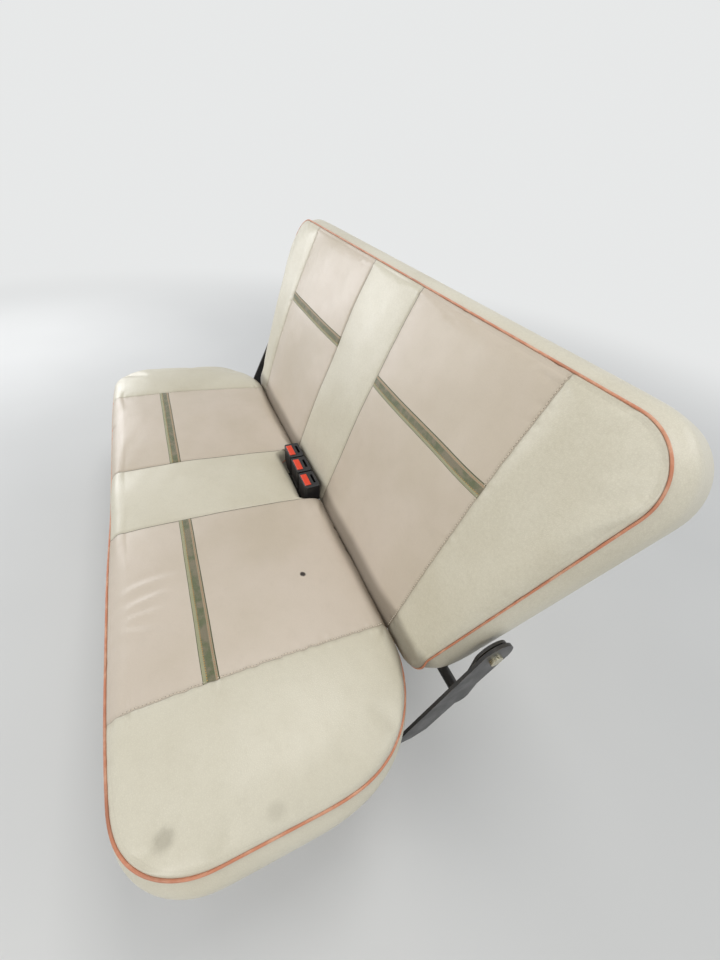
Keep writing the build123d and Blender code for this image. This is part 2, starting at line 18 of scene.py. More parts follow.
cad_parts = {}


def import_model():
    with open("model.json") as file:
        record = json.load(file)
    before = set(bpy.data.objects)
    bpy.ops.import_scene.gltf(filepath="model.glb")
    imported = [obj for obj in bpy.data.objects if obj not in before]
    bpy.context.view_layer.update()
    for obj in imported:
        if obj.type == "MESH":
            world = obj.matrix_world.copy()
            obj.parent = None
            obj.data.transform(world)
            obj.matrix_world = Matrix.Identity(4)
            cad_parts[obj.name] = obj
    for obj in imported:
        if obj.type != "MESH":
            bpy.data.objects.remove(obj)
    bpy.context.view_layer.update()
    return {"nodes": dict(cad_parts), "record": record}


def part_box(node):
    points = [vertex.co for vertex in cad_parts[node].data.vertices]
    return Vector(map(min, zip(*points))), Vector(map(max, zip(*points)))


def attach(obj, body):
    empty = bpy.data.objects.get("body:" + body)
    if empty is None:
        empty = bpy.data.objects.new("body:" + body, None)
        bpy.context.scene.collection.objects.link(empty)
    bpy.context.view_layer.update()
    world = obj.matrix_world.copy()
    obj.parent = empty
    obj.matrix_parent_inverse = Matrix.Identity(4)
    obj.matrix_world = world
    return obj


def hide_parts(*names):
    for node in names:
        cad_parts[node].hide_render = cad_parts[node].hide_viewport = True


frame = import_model()

# The crease, the two slopes, and each pad's own axes v and w
CREASE = np.array([0.0, 0.400, 0.310])
SEAT_TILT = radians(4.0)
BACK_TILT = radians(20.5)
SEAT_AXES = np.array([(0, cos(SEAT_TILT), -sin(SEAT_TILT)), (0, sin(SEAT_TILT), cos(SEAT_TILT))])
BACK_AXES = np.array([(0, sin(BACK_TILT), cos(BACK_TILT)), (0, -cos(BACK_TILT), sin(BACK_TILT))])

# Seams that run along both pads, as distances from the middle
CENTRE_SEAM = 0.092
OUTER_SEAM = 0.418

# A pad's outline: its extent along v, its half width at v = 0 and how fast that grows, its corners, and the
# rows of points in the low corner, the straight and the high corner
Outline = namedtuple("Outline", "low high half widening low_corner high_corner rows")
PAD_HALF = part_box("seat_pad")[1].x
CUSHION = Outline(
    low=-0.415, high=-0.002, half=PAD_HALF, widening=0.0, low_corner=0.107, high_corner=0.187,
    rows=(14, 18, 24),
)
BACKREST = Outline(
    low=-0.028, high=0.475, half=0.5143, widening=0.1909, low_corner=0.060, high_corner=0.085,
    rows=(9, 36, 12),
)

# The columns of points of a pad's face: the steps up to the centre seam, on to the outer seam and across a
# bolster, how far the close ones stand from their seam, and how much closer a bolster's lie at its seam
MIDDLE_STEPS = 10
PANEL_STEPS = 36
BOLSTER_STEPS = 20
BESIDE_SEAM = 0.0025
FIRST_SHARE = 0.015
SHARE_POWER = 1.12

# A pad's edge, each value given for its outer side, the bench's ends and the crease: the width of the roll
# from face to outline, the piping's inset from the outline and its height w, and the insets of the band below
# it where it stands out most and at its foot. Crease is the sign of v there, and lean the angle by which the
# straight ends face the crease
Edge = namedtuple("Edge", "roll inset height bulge foot crease lean")
CUSHION_EDGE = Edge(
    roll=(0.034, 0.044, 0.016), inset=(0.0040, 0.0165, 0.0030), height=(-0.0175, -0.0175, -0.0220),
    bulge=(-0.0020, 0.0025, -0.0060), foot=(0.0030, 0.0070, 0.0020), crease=1, lean=0.0,
)
BACK_EDGE = Edge(
    roll=(0.032, 0.034, 0.012), inset=(0.0150, 0.0150, 0.0020), height=(-0.0080, -0.0080, -0.0120),
    bulge=(0.0000, 0.0010, -0.0010), foot=(0.0040, 0.0060, 0.0020), crease=-1, lean=atan(BACKREST.widening),
)
ROLL_RINGS = 7
BAND_RINGS = 9
BAND_LOW = -0.0900
BAND_SWELL = 0.40

# The piping: how deep the roll's last rings draw in under it and over which part of their turn, how far its
# middle stands out from its inset, the points along it for each of the rim's, and its tube's sides. A point
# is on the band's side where it lies lower than the piping by more than a share of its distance
PIPING_SINK = 0.0012
SINK_TURN = (1.2, 1.5)
PIPING_OUT = 0.0004
PIPING_STEPS = 4
PIPING_SIDES = 10
BAND_SIDE = 0.2

# Where the cushion's piping slips down and in under the roll towards the far end, how far, and over which part
# of the roll's turn its cover is let out again
SLIP_FROM = 0.22
SLIP_TO = -0.05
SLIP_DOWN = 0.006
SLIP_IN = 0.004
SLIP_TURN = (1.30, 1.57)

# How far apart the face's heights are taken for its slope
SLOPE_STEP = 0.001

# Covers: the foam's pressure and the frames it is given, the half widths of a seam's groove and valley, and how
# far from the piping the face's seams and folds have fully set in
PRESSURE = 4.0
FRAMES = 20
GROOVE_WIDTH = 0.0020
VALLEY_WIDTH = 0.013
TOP_FROM = 0.010

# Seams: how deep their groove and the valley round it are, and how far they pucker. The puckers' length, how
# long a spell of them is, and how far they stand from the seam
CENTRE_RELIEF = (0.0015, 0.0008, 0.00015)
OUTER_RELIEF = (0.0007, 0.0006, 0.00040)
PUCKER_LENGTH = 0.016
PUCKER_SPELL = 0.09
PUCKER_AWAY = 0.006

# The outer seams' waves along the bench: their length, how far from the seam they fade, and a seed a side
SWAY_LENGTH = 0.026
SWAY_REACH = 0.010
SWAY_SEEDS = (61, 62)

# The cover beside the piping: a ridge, a channel and gathers, each as its height, its distance from the
# piping and its half width. The gathers' length, and how long a spell of them is
RIDGE = (0.0005, 0.0035, 0.0025)
CHANNEL = (-0.0004, 0.0085, 0.0022)
GATHERS = (-0.0006, 0.012, 0.010)
GATHER_LENGTH = 0.022
GATHER_SPELL = 0.15

# The woven stripes: their width, how far they stand out, how far their edges are pressed down again, how far
# and in which waves they wander, and their points along and across
STRIPE_WIDTH = 0.0235
STRIPE_RISE = 0.0009
STRIPE_PRESS = 0.0011
STRIPE_WANDER = (0.00012, 0.12, 51)
STRIPE_POINTS = (110, 15)

# The row of stitches beside each outer seam, and the dark bars of painted shade that stand for the needle holes
# between them. A thread's ends are a share as thick as its middle and dip into the cover, and its middle lies
# so many radii above it
STITCH_OFFSET = -0.0019
STITCH_PITCH = 0.0046
STITCH_LENGTH = 0.0039
STITCH_R = 0.00060
HOLE_LENGTH = 0.0008
HOLE_R = 0.00040
THREAD_RINGS = 5
THREAD_SIDES = 6
THREAD_TIP = 0.2
THREAD_DIP = 0.0008
THREAD_LIFT = 0.6
STITCH_AIM = 0.002

# The fasteners round the rear board: their radius and rise, their profile from rim to top as shares of both,
# their sides, and places (x, v) on the right half
STUD_R = 0.0075
STUD_RISE = 0.0022
STUD_PROFILE = ((1.0, 0.02), (0.92, 0.24), (0.86, 0.26), (0.74, 0.66), (0.50, 0.92), (0.22, 1.0))
STUD_SIDES = 20
STUDS = (
    (0.0, 0.452), (0.18, 0.452), (0.36, 0.452), (0.530, 0.440), (0.548, 0.300), (0.520, 0.160), (0.492, 0.020),
    (0.36, -0.004), (0.18, -0.004), (0.0, -0.004),
)

# How far from a pad the rays start that look for its surface, and how far from the board
ABOVE_PAD = 0.1
BEHIND_BOARD = -0.2

# The recess of the cushion round the buckles: where its sides blend out along x, where v is squeezed from and
# to, how far the rim dips, and where the dip sets in along v and w
RECESS_SIDE = (0.085, 0.099)
RECESS_FROM = -0.130
RECESS_TO = -0.0440
RECESS_DIP = 0.012
DIP_V = (-0.030, -0.005)
DIP_W = (-0.080, -0.030)

# How far the cushion's front bows out in the middle, the half length of the bow, and where it sets in along v
# and w
FRONT_BOW = 0.0065
BOW_HALF = 0.53
BOW_V = (-0.25, -0.37)
BOW_W = (-0.090, -0.060)

# Pulls in the near panel's front: place (x, v), lean, length and height. All of them bend alike, and have a
# crest of the same half width beside a valley (its share of the height, distance and half width)
PULLS = (
    (0.2285, -0.352, 1.64, 0.038, 0.0021), (0.2600, -0.358, 1.74, 0.030, 0.0024),
    (0.2850, -0.366, 1.62, 0.028, 0.0018), (0.3120, -0.366, 1.15, 0.036, 0.0018),
)
PULL_BEND = 2.0
PULL_CREST = 0.0080
PULL_VALLEY = (0.6, 0.014, 0.009)

# Marks on the cushion, found from the photograph: two stains and a burn. Each has its place (x, v), its radius
# along v, how narrow it is along x, how soft its edge is, its strength and its colour
MARKS = (
    (0.5625, -0.359, 0.0120, 1.30, 0.60, 0.30, (84, 74, 52)),
    (0.5870, -0.241, 0.0100, 1.20, 0.60, 0.15, (84, 74, 52)),
    (0.2895, -0.1135, 0.0045, 1.00, 0.35, 1.00, (34, 23, 17)),
)
MARK_HEIGHT = 0.010

# Dirt in the seams: the seam, how far the dirt reaches, its strength and its colour
SEAM_DIRT = (
    (CENTRE_SEAM, 0.0080, 0.12, (110, 96, 74)), (OUTER_SEAM, 0.0080, 0.12, (110, 96, 74)),
    (CENTRE_SEAM, 0.0012, 0.88, (62, 48, 34)), (OUTER_SEAM, 0.0009, 0.38, (74, 58, 42)),
)

# Dirt along the piping: from where to where it fades, its strength and its colour
PIPING_DIRT = ((0.0010, 0.010, 0.14, (112, 92, 68)), (0.0014, 0.0028, 0.70, (92, 62, 44)))

# The vinyls' grain, in cells to the metre
CREAM_GRAIN = 430.0
ROSE_GRAIN = 900.0

# The ribbon of the stripes: how long a warp and a dash are, the wefts across it, and how soft its bands are.
# Its bands, from its low edge: start and end, colour, and how far it shows, or None where it is dashed
WARP_PITCH = 0.0009
DASH_PITCH = 0.0036
WEFTS = 26
RIBBON_SOFT = 0.006
RIBBON = (
    (0.00, 0.06, (86, 92, 60), 0.90), (0.06, 0.25, (186, 184, 146), 0.80), (0.25, 0.31, (204, 160, 84), None),
    (0.75, 0.92, (190, 174, 142), 0.78), (0.80, 0.85, (200, 132, 98), None), (0.92, 1.00, (70, 78, 50), 0.95),
)

# The jute cloth's yarns and the belt webbing's ribs and cross threads
SACKING_PITCH = 0.0026
RIB_PITCH = 0.0022
PICK_PITCH = 0.0013

# Camera, from the fit of the seams to the photograph
CAMERA_PLACE = (0.6935, 0.1623, 0.9177)
CAMERA_TURN = (49.200, -4.857, 65.847)
CAMERA_LENS = 14.90
CAMERA_NEAR = 0.02
SENSOR_LONG_SIDE = 36.0

# Room: the backdrop's colour, the floor's colours and reach, where it fades into the backdrop, and the light.
# Each lamp has a name, a place, a target, a size, a power and a colour
BACKDROP = (0.80, 0.81, 0.81, 1)
FLOOR_TONES = ((0.70, 0.70, 0.69, 1), (0.73, 0.73, 0.72, 1))
FLOOR_REACH = 12.0
FLOOR_MIDDLE = (0.0, 0.3, 0.0)
FLOOR_FADE = (1.1, 3.2)
SKY = (0.92, 0.96, 1.0, 1)
SKY_STRENGTH = 0.40
LAMPS = (
    ("window_left", (-2.2, -1.0, 1.15), (0.0, 0.45, 0.45), (1.5, 1.1), 27, (0.97, 0.98, 1.0)),
    ("window_near", (2.0, -1.2, 1.7), (0.2, 0.45, 0.45), (1.4, 1.1), 26, (1.0, 0.98, 0.95)),
    ("window_rear", (1.3, 2.0, 1.9), (0.3, 0.25, 0.35), (1.2, 0.7), 8, (0.98, 0.99, 1.0)),
    ("ceiling", (0.1, 0.75, 2.5), (0.1, 0.3, 0.4), (1.0, 0.7), 14, (1.0, 0.99, 0.97)),
)


# Local frames

def to_row(points, axes):
    """Local points (x, v, w) in the row frame: the crease, plus x along the bench, plus v and w along the
    pad's own two axes."""
    return CREASE + points[:, :1] * (1, 0, 0) + points[:, 1:] @ axes


def to_local(points, axes):
    """Row-frame points as local (x, v, w), by projecting them on the pad's axes."""
    away = points - CREASE
    return np.column_stack([away[:, 0], away @ axes.T])


# Numbers

def step(value, start, end):
    """0 up to the start, 1 from the end on, and a smooth step between. The end may be the lower one."""
    t = np.clip((value - start) / (end - start), 0, 1)
    return t * t * (3 - 2 * t)


def bell(away, width):
    """1 at 0, falling to both sides, to about a third at the width."""
    return np.exp(-(away / width) ** 2)


def waves(points, length, seed, count=20):
    """Smooth irregular waves of about that length, near 1 in size: a sum of sines whose directions, lengths
    and phases come from a fixed seed."""
    rng = np.random.default_rng(seed)
    turn = rng.normal(size=(count, points.shape[1]))
    turn *= rng.uniform(0.6, 1.5, (count, 1)) * 2 * pi / length / np.linalg.norm(turn, axis=1, keepdims=True)
    return np.sin(points @ turn.T + rng.uniform(0, 2 * pi, count)).sum(axis=1) / sqrt(count / 2)


# Meshes

def smoothed(mesh):
    """A mesh with all its faces shaded smooth."""
    mesh.polygons.foreach_set("use_smooth", [True] * len(mesh.polygons))
    return mesh


def placed(name, mesh, body):
    """An object of a mesh in the row frame, which rides on a body where one is given."""
    obj = bpy.data.objects.new(name, smoothed(mesh))
    bpy.context.collection.objects.link(obj)
    if body:
        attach(obj, body)
    return obj


def new_mesh(name, points, faces, body):
    """The object of a new mesh."""
    mesh = bpy.data.meshes.new(name)
    mesh.from_pydata(points, [], faces)
    return placed(name, mesh, body)


def grid_faces(rows, columns, start=0):
    """Quads of a grid of points stored row by row."""
    corner = (np.arange(rows - 1)[:, None] * columns + np.arange(columns - 1)).ravel() + start
    return np.stack([corner, corner + 1, corner + columns + 1, corner + columns], axis=1)


def ring_faces(count, sides, closed=False):
    """Quads between rings of points stored one after another, and where they are closed also from the last
    ring to the first."""
    here = np.arange(count * sides).reshape(count, sides)
    ahead = np.roll(here, -1, axis=0)
    quads = np.stack([here, ahead, np.roll(ahead, -1, axis=1), np.roll(here, -1, axis=1)], axis=2)
    return quads[:count if closed else count - 1].reshape(-1, 4)


def spokes(out, up, sides):
    """Unit vectors all round a circle, from one direction towards the other, for one or many pairs."""
    angle = np.arange(sides) * 2 * pi / sides
    return np.cos(angle)[:, None] * out[..., None, :] + np.sin(angle)[:, None] * up[..., None, :]


def unit(vectors):
    """Vectors, each divided by its length."""
    return vectors / np.linalg.norm(vectors, axis=1, keepdims=True)


def as_array(items, key):
    """The three numbers that each item of a mesh has under that key."""
    flat = np.empty(3 * len(items), np.float32)
    items.foreach_get(key, flat)
    return flat.reshape(-1, 3).astype(float)


# Pad outline

def side_arcs(o):
    """The right side of an outline, from its low edge to its high one: a low corner's arc, a straight and a
    high corner's arc, each point as its arc's centre, radius and the direction of the outward normal."""
    steep = hypot(1, o.widening)
    lean = -atan(o.widening)
    centres = []
    for v, corner in ((o.low + o.low_corner, o.low_corner), (o.high - o.high_corner, o.high_corner)):
        centres.append((o.half + o.widening * v - corner * steep, v))
    low, high = np.array(centres)
    at_low, straight, at_high = o.rows
    share = np.concatenate([np.zeros(at_low), np.linspace(0, 1, straight + 1), np.ones(at_high)])[:, None]
    angle = np.concatenate([
        np.linspace(-pi / 2, lean, at_low + 1)[:-1], np.full(straight + 1, lean),
        np.linspace(lean, pi / 2, at_high + 1)[1:],
    ])
    radius = o.low_corner + (o.high_corner - o.low_corner) * share
    return low + (high - low) * share, radius, np.stack([np.cos(angle), np.sin(angle)], axis=1)


def by_side(values, edge, normal):
    """A value given for the outer side, the ends and the crease, where the outline has that normal (x, v).
    Each corner's turn from the straight end is stretched to a right angle. The ends' share is its cosine
    squared round the outer corners, and the eighth power round the corners at the crease, where the ends'
    value fades sooner. The rest is the outer side's or the crease's."""
    turn = np.arctan2(normal[:, 1] * edge.crease, np.abs(normal[:, 0])) - edge.lean
    to_crease = np.clip(turn / (pi / 2 - edge.lean), 0, 1)
    to_outer = np.clip(-turn / (pi / 2 + edge.lean), 0, 1)
    ends = np.cos(pi / 2 * to_crease) ** 8 * np.cos(pi / 2 * to_outer) ** 2
    return np.array(values) @ np.stack([(1 - ends) * (turn <= 0), ends, (1 - ends) * (turn > 0)])


def inner_columns():
    """The x of the face's columns between the outer seams: even steps, with close ones beside each seam."""
    beside = (CENTRE_SEAM - BESIDE_SEAM, CENTRE_SEAM + BESIDE_SEAM, OUTER_SEAM - BESIDE_SEAM)
    middle = np.linspace(0, CENTRE_SEAM, MIDDLE_STEPS + 1)
    panel = np.linspace(CENTRE_SEAM, OUTER_SEAM, PANEL_STEPS + 1)
    steps = np.unique(np.round(np.concatenate([middle, panel, beside]), 6))
    return np.concatenate([-steps[:0:-1], steps])


def bolster_shares():
    """How far across a bolster its columns lie, closer beside the seam."""
    even = np.linspace(0, 1, BOLSTER_STEPS + 1)[1:]
    return np.concatenate([[FIRST_SHARE], even ** SHARE_POWER])


def face_grid(o, inset):
    """The points (x, v) of a pad's face, row by row, up to an inset from its outline."""
    centre, radius, normal = side_arcs(o)
    side = centre + (radius - np.reshape(inset, (-1, 1))) * normal
    beside = OUTER_SEAM + bolster_shares() * (side[:, :1] - OUTER_SEAM)
    x = np.concatenate([-beside[:, ::-1], np.tile(inner_columns(), (len(side), 1)), beside], axis=1)
    return np.stack([x, np.tile(side[:, 1:], (1, x.shape[1]))], axis=2)


def rim(grid):
    """The indices of a grid's edge points, round it once from its first corner along the low edge."""
    rows, columns = grid.shape[:2]
    index = np.arange(rows * columns).reshape(rows, columns)
    return np.concatenate([index[0], index[1:, -1], index[-1, -2::-1], index[-2:0:-1, 0]])


def rim_points(grid):
    """Those edge points (x, v)."""
    return grid.reshape(-1, 2)[rim(grid)]


def rim_normals(o, columns):
    """The outward normals (x, v) of those edge points."""
    side = side_arcs(o)[2]
    mirrored = side * (-1, 1)
    return np.concatenate([
        np.tile((0.0, -1.0), (columns, 1)), side[1:], np.tile((0.0, 1.0), (columns - 1, 1)), mirrored[-2:0:-1],
    ])


def crown(o, points, rise):
    """How far the face stands out: an arc along v that sags by its own amount to each side, less a droop
    towards both ends of the bench."""
    top, sag_low, sag_high, droop = rise
    across = (2 * points[:, 1] - o.low - o.high) / (o.high - o.low)
    ends = step(np.abs(points[:, 0]), OUTER_SEAM, PAD_HALF)
    return top - np.where(across < 0, sag_low, sag_high) * across ** 2 - droop * ends


def cushion_shape(points):
    """The cushion's rear pressed forward round the buckles, where v beyond a line is squeezed towards it and
    the rim dips, and its front bowed out above its foot, by a curve of the eighth power along the bench."""
    x, v, w = points.T
    blend = 1 - step(np.abs(x), *RECESS_SIDE)
    squeeze = blend * (CUSHION.high - RECESS_TO) / (CUSHION.high - RECESS_FROM)
    bow = FRONT_BOW * np.maximum(1 - (x / BOW_HALF) ** 8, 0) * step(v, *BOW_V) * step(w, *BOW_W)
    dip = RECESS_DIP * blend * step(v, *DIP_V) * step(w, *DIP_W)
    return np.column_stack([x, v - squeeze * np.maximum(v - RECESS_FROM, 0) - bow, w - dip])


def back_shape(points):
    """The backrest keeps the shape of its outline."""
    return points


# What each pad is made of: where it belongs, its forms above, and
# - rise: the crown's rise in the middle, and the sag towards the low and the high side, then to the ends
# - hem: steps of (inset from the band's foot, w) in under the pad
# - slips: 1 where the piping slips, 0 where it doesn't
# - push: how far the foam may push the cover out
# - sway: how far the outer seams wander
# - foam: the face's unevenness, as waves' (height, length, seed)
# - seed: the first seed of the cover's puckers and gathers
# - stripe_v and stitched: the v of the stripes' middle, and from where to where the stitches run
# - speckle: how far its cream vinyl is speckled, whose lighter specks are also painted glints of the grain
Pad = namedtuple("Pad", (
    "name body node axes outline edge rise hem shape piping_r slips push sway foam pulls seed stripe_v "
    "stitched speckle marks"
))
CUSHION_PAD = Pad(
    name="cushion", body="cushion_base", node="seat_pad", axes=SEAT_AXES, outline=CUSHION, edge=CUSHION_EDGE,
    rise=(0.008, 0.012, 0.006, 0.006),
    hem=((0.0005, -0.0965), (0.0060, -0.1000), (0.0262, -0.1000), (0.0332, -0.0935), (0.0336, -0.0770)),
    shape=cushion_shape, piping_r=0.0020, slips=1, push=0.006, sway=0.00040,
    foam=((0.0007, 0.20, 11), (0.00012, 0.06, 12)), pulls=PULLS, seed=21, stripe_v=-0.2855,
    stitched=(-0.396, -0.016), speckle=0.03, marks=MARKS,
)
BACK_PAD = Pad(
    name="backrest", body="backrest", node="back_pad", axes=BACK_AXES, outline=BACKREST, edge=BACK_EDGE,
    rise=(0.007, 0.007, 0.013, 0.002),
    hem=((0.0000, -0.0950), (0.0035, -0.0978), (0.0080, -0.0980), (0.0260, -0.0979), (0.0280, -0.0790)),
    shape=back_shape, piping_r=0.0016, slips=0, push=0.0035, sway=0.00018,
    foam=((0.0007, 0.22, 31), (0.0001, 0.06, 32)), pulls=(), seed=41, stripe_v=0.2835,
    stitched=(-0.010, 0.455), speckle=0.07, marks=(),
)

# The regions of a cover's faces, which are the places of their materials
PLAIN, PANEL, BAND, UNDERSIDE = range(4)


# Pads

def pad_face(pad):
    """The grid of a pad's face, up to where the roll of its edge begins."""
    return face_grid(pad.outline, by_side(pad.edge.roll, pad.edge, side_arcs(pad.outline)[2]))


def round_pad(pad, grid, inwards, w):
    """Points (x, v, w) once round a pad, at an inset from its outline and a height w."""
    normal = rim_normals(pad.outline, grid.shape[1])
    out = by_side(pad.edge.roll, pad.edge, normal) - inwards
    return np.column_stack([rim_points(grid) + out[:, None] * normal, np.broadcast_to(w, len(out))])


def edge_round(pad, grid):
    """A pad's roll, piping inset and height, bulge, foot and slip at each point once round it. The slip is 1
    towards the far end, where the piping has slipped, and 0 along the crease."""
    normal = rim_normals(pad.outline, grid.shape[1])
    roll, inset, height, bulge, foot = (by_side(values, pad.edge, normal) for values in pad.edge[:5])
    slip = pad.slips * by_side((1, 1, 0), pad.edge, normal) * step(rim_points(grid)[:, 0], SLIP_FROM, SLIP_TO)
    return roll, inset + SLIP_IN * slip, height - SLIP_DOWN * slip, bulge, foot, slip


def pad_rings(pad, grid, face_w):
    """The rings of points round a pad's edge: a quarter ellipse from the face to the piping's groove, tilted
    at its start to the face's own slope, a band that swells out and draws in again towards its foot, and the
    hem turned in under it."""
    roll, inset, height, bulge, foot, slip = edge_round(pad, grid)
    start = face_w[rim(grid)]
    flat = rim_points(grid)
    ahead = flat + SLOPE_STEP * rim_normals(pad.outline, grid.shape[1])
    slope = (crown(pad.outline, ahead, pad.rise) - crown(pad.outline, flat, pad.rise)) / SLOPE_STEP
    rings = []
    for turn in np.linspace(0, pi / 2, ROLL_RINGS + 1)[1:]:
        out = (roll - inset) * sin(turn)
        sunk = PIPING_SINK * step(turn, *SINK_TURN)
        tucked = SLIP_IN * slip * (1 - step(turn, *SLIP_TURN)) * sin(turn)
        w = height + (start - height) * cos(turn) + slope * out * cos(turn)
        rings.append(round_pad(pad, grid, roll - out + sunk - tucked, w))
    for down in np.linspace(0, 1, BAND_RINGS + 1)[1:]:
        inwards = bulge + (inset - bulge) * (1 - step(down, 0, BAND_SWELL)) + (foot - bulge) * down ** 3
        rings.append(round_pad(pad, grid, inwards, height + (BAND_LOW - height) * down))
    for inwards, w in pad.hem:
        rings.append(round_pad(pad, grid, foot + inwards, w))
    return rings


def on_panel(x):
    """Whether each place along the bench lies on a panel, between a centre seam and an outer one."""
    return (np.abs(x) > CENTRE_SEAM) & (np.abs(x) < OUTER_SEAM)


def pad_base(pad):
    """A pad's closed mesh: its face, the rings of its edge and its underside, whose own rim is the last ring.
    Returns the points, the faces, each face's region and the points that its seams hold."""
    grid = pad_face(pad)
    flat = grid.reshape(-1, 2)
    face = np.column_stack([flat, crown(pad.outline, flat, pad.rise)])
    rings = pad_rings(pad, grid, face[:, 2])
    foot = by_side(pad.edge.foot, pad.edge, side_arcs(pad.outline)[2])
    under_flat = face_grid(pad.outline, foot + pad.hem[-1][0]).reshape(-1, 2)
    under = np.column_stack([under_flat, np.full(len(under_flat), pad.hem[-1][1])])
    rows, columns = grid.shape[:2]
    loop = rim(grid)
    points = np.concatenate([face] + rings[:-1] + [under])
    faces = [grid_faces(rows, columns)]
    regions = [np.where(on_panel(flat[faces[0][:, [0, 2]], 0].mean(axis=1)), PANEL, PLAIN)]
    pins = [np.flatnonzero(np.isclose(np.abs(flat[:, :1]), (CENTRE_SEAM, OUTER_SEAM)).any(axis=1))]
    before = loop
    under_start = len(face) + len(loop) * (len(rings) - 1)
    rolled = np.where(on_panel((flat[loop, 0] + np.roll(flat[loop, 0], -1)) / 2), PANEL, PLAIN)
    for number in range(len(rings)):
        last = number == len(rings) - 1
        here = under_start + loop if last else len(face) + len(loop) * number + np.arange(len(loop))
        faces.append(np.stack([before, here, np.roll(here, -1), np.roll(before, -1)], axis=1))
        regions.append(rolled if number < ROLL_RINGS else np.full(len(loop), BAND))
        if number == ROLL_RINGS - 1 or number >= ROLL_RINGS + BAND_RINGS - 2:
            pins.append(here)
        before = here
    faces.append(grid_faces(rows, columns, under_start)[:, ::-1])
    regions.append(np.full(len(faces[-1]), UNDERSIDE))
    pins.append(under_start + np.arange(rows * columns))
    return pad.shape(points), np.concatenate(faces), np.concatenate(regions), np.unique(np.concatenate(pins))


def inflate(points, faces, pins, cap):
    """The cover under its foam's pressure: cloth held at its seams, no gravity, a few frames, and no point
    moves further than the cap."""
    obj = new_mesh("cover_to_inflate", points, faces, None)
    group = obj.vertex_groups.new(name="held")
    group.add([int(i) for i in pins], 1.0, "REPLACE")
    cloth = obj.modifiers.new("Cover", "CLOTH")
    cloth.settings.vertex_group_mass = "held"
    cloth.settings.use_pressure = True
    cloth.settings.uniform_pressure_force = PRESSURE
    cloth.settings.quality = 5
    cloth.settings.tension_stiffness = 30
    cloth.settings.compression_stiffness = 30
    cloth.settings.shear_stiffness = 10
    cloth.settings.bending_stiffness = 2
    cloth.settings.effector_weights.gravity = 0
    cloth.collision_settings.use_collision = False
    cloth.point_cache.frame_start = 1
    cloth.point_cache.frame_end = FRAMES
    scene = bpy.context.scene
    for number in range(1, FRAMES + 1):
        scene.frame_set(number)
    swollen = obj.evaluated_get(bpy.context.evaluated_depsgraph_get())
    move = as_array(swollen.data.vertices, "co") - points
    bpy.data.objects.remove(obj)
    scene.frame_set(1)
    size = np.linalg.norm(move, axis=1, keepdims=True)
    return points + move * np.minimum(1, cap / np.maximum(size, 1e-9))


def subdivided(name, points, faces, regions, body, materials):
    """The mesh after one subdivision, with its regions' materials."""
    rough = new_mesh(name + "_rough", points, faces, None)
    rough.data.polygons.foreach_set("material_index", regions.astype(np.int32))
    for material in materials:
        rough.data.materials.append(material)
    level = rough.modifiers.new("Smooth", "SUBSURF")
    level.levels = 1
    level.render_levels = 1
    graph = bpy.context.evaluated_depsgraph_get()
    mesh = bpy.data.meshes.new_from_object(rough.evaluated_get(graph))
    mesh.name = name
    bpy.data.objects.remove(rough)
    return placed(name, mesh, body)


def piping_path(pad):
    """The line of a pad's piping in the row frame, in steps of a few millimetres: a cubic through each point
    of the rim, whose slope there is half the way from the point before it to the one after it."""
    grid = pad_face(pad)
    inset, height = edge_round(pad, grid)[1:3]
    corners = to_row(pad.shape(round_pad(pad, grid, inset - PIPING_OUT, height)), pad.axes)
    t = np.linspace(0, 1, PIPING_STEPS, endpoint=False)[:, None]
    before, here, after, beyond = (np.roll(corners, turn, axis=0)[:, None] for turn in (1, 0, -1, -2))
    square = 2 * before - 5 * here + 4 * after - beyond
    cube = 3 * here - before - 3 * after + beyond
    return (here + ((after - before) * t + square * t ** 2 + cube * t ** 3) / 2).reshape(-1, 3)


def from_piping(places, path, axes):
    """Each place's distance from the piping, counted negative on the band's side of it."""
    tree = KDTree(len(path))
    for index, point in enumerate(path):
        tree.insert(Vector(point), index)
    tree.balance()
    found = [tree.find(Vector(place)) for place in places]
    distance = np.array([hit[2] for hit in found])
    nearest = path[[hit[1] for hit in found]]
    above = (places - nearest) @ axes[1] > -BAND_SIDE * distance
    return np.where(above, distance, -distance)


def swayed(pad, points):
    """Points (x, v) moved along the bench as the outer seams wander, fading with the distance from them."""
    seams = [waves(points[:, 1:2], SWAY_LENGTH, seed) for seed in SWAY_SEEDS]
    share = bell(np.abs(points[:, 0]) - OUTER_SEAM, SWAY_REACH)
    moved = points.copy()
    moved[:, 0] += pad.sway * share * np.where(points[:, 0] > 0, *seams)
    return moved


def seam_relief(local, seed):
    """How far the face's seams pull it in or push it out: a narrow groove in a wide shallow valley along each
    seam, with puckers beside it that come and go."""
    out = np.zeros(len(local))
    along = local[:, 1:2]
    for seam, (groove, valley, pucker) in ((CENTRE_SEAM, CENTRE_RELIEF), (OUTER_SEAM, OUTER_RELIEF)):
        for side in (1, -1):
            away = local[:, 0] - side * seam
            out -= groove * bell(away, GROOVE_WIDTH) + valley * bell(away, VALLEY_WIDTH)
            spell = 0.6 + 0.4 * waves(along, PUCKER_SPELL, seed + 7 * side)
            ripple = waves(along, PUCKER_LENGTH, seed + side) * spell
            out += pucker * ripple * bell(np.abs(away) - PUCKER_AWAY, PUCKER_AWAY)
    return out


def beside(distance, form):
    """A form beside the piping: its height, times a bell about its distance with its half width."""
    height, middle, width = form
    return height * bell(distance - middle, width)


def piping_relief(distance, local, seed):
    """The seam allowance under the cover beside the piping, a low ridge with a shallow channel inside it, and
    small gathers that run square to the piping where the cover is eased round it."""
    gathers = np.maximum(waves(local[:, :2], GATHER_LENGTH, seed), 0)
    spell = 0.5 + 0.5 * waves(local[:, :2], GATHER_SPELL, seed + 1)
    return beside(distance, RIDGE) + beside(distance, CHANNEL) + beside(distance, GATHERS) * gathers * spell


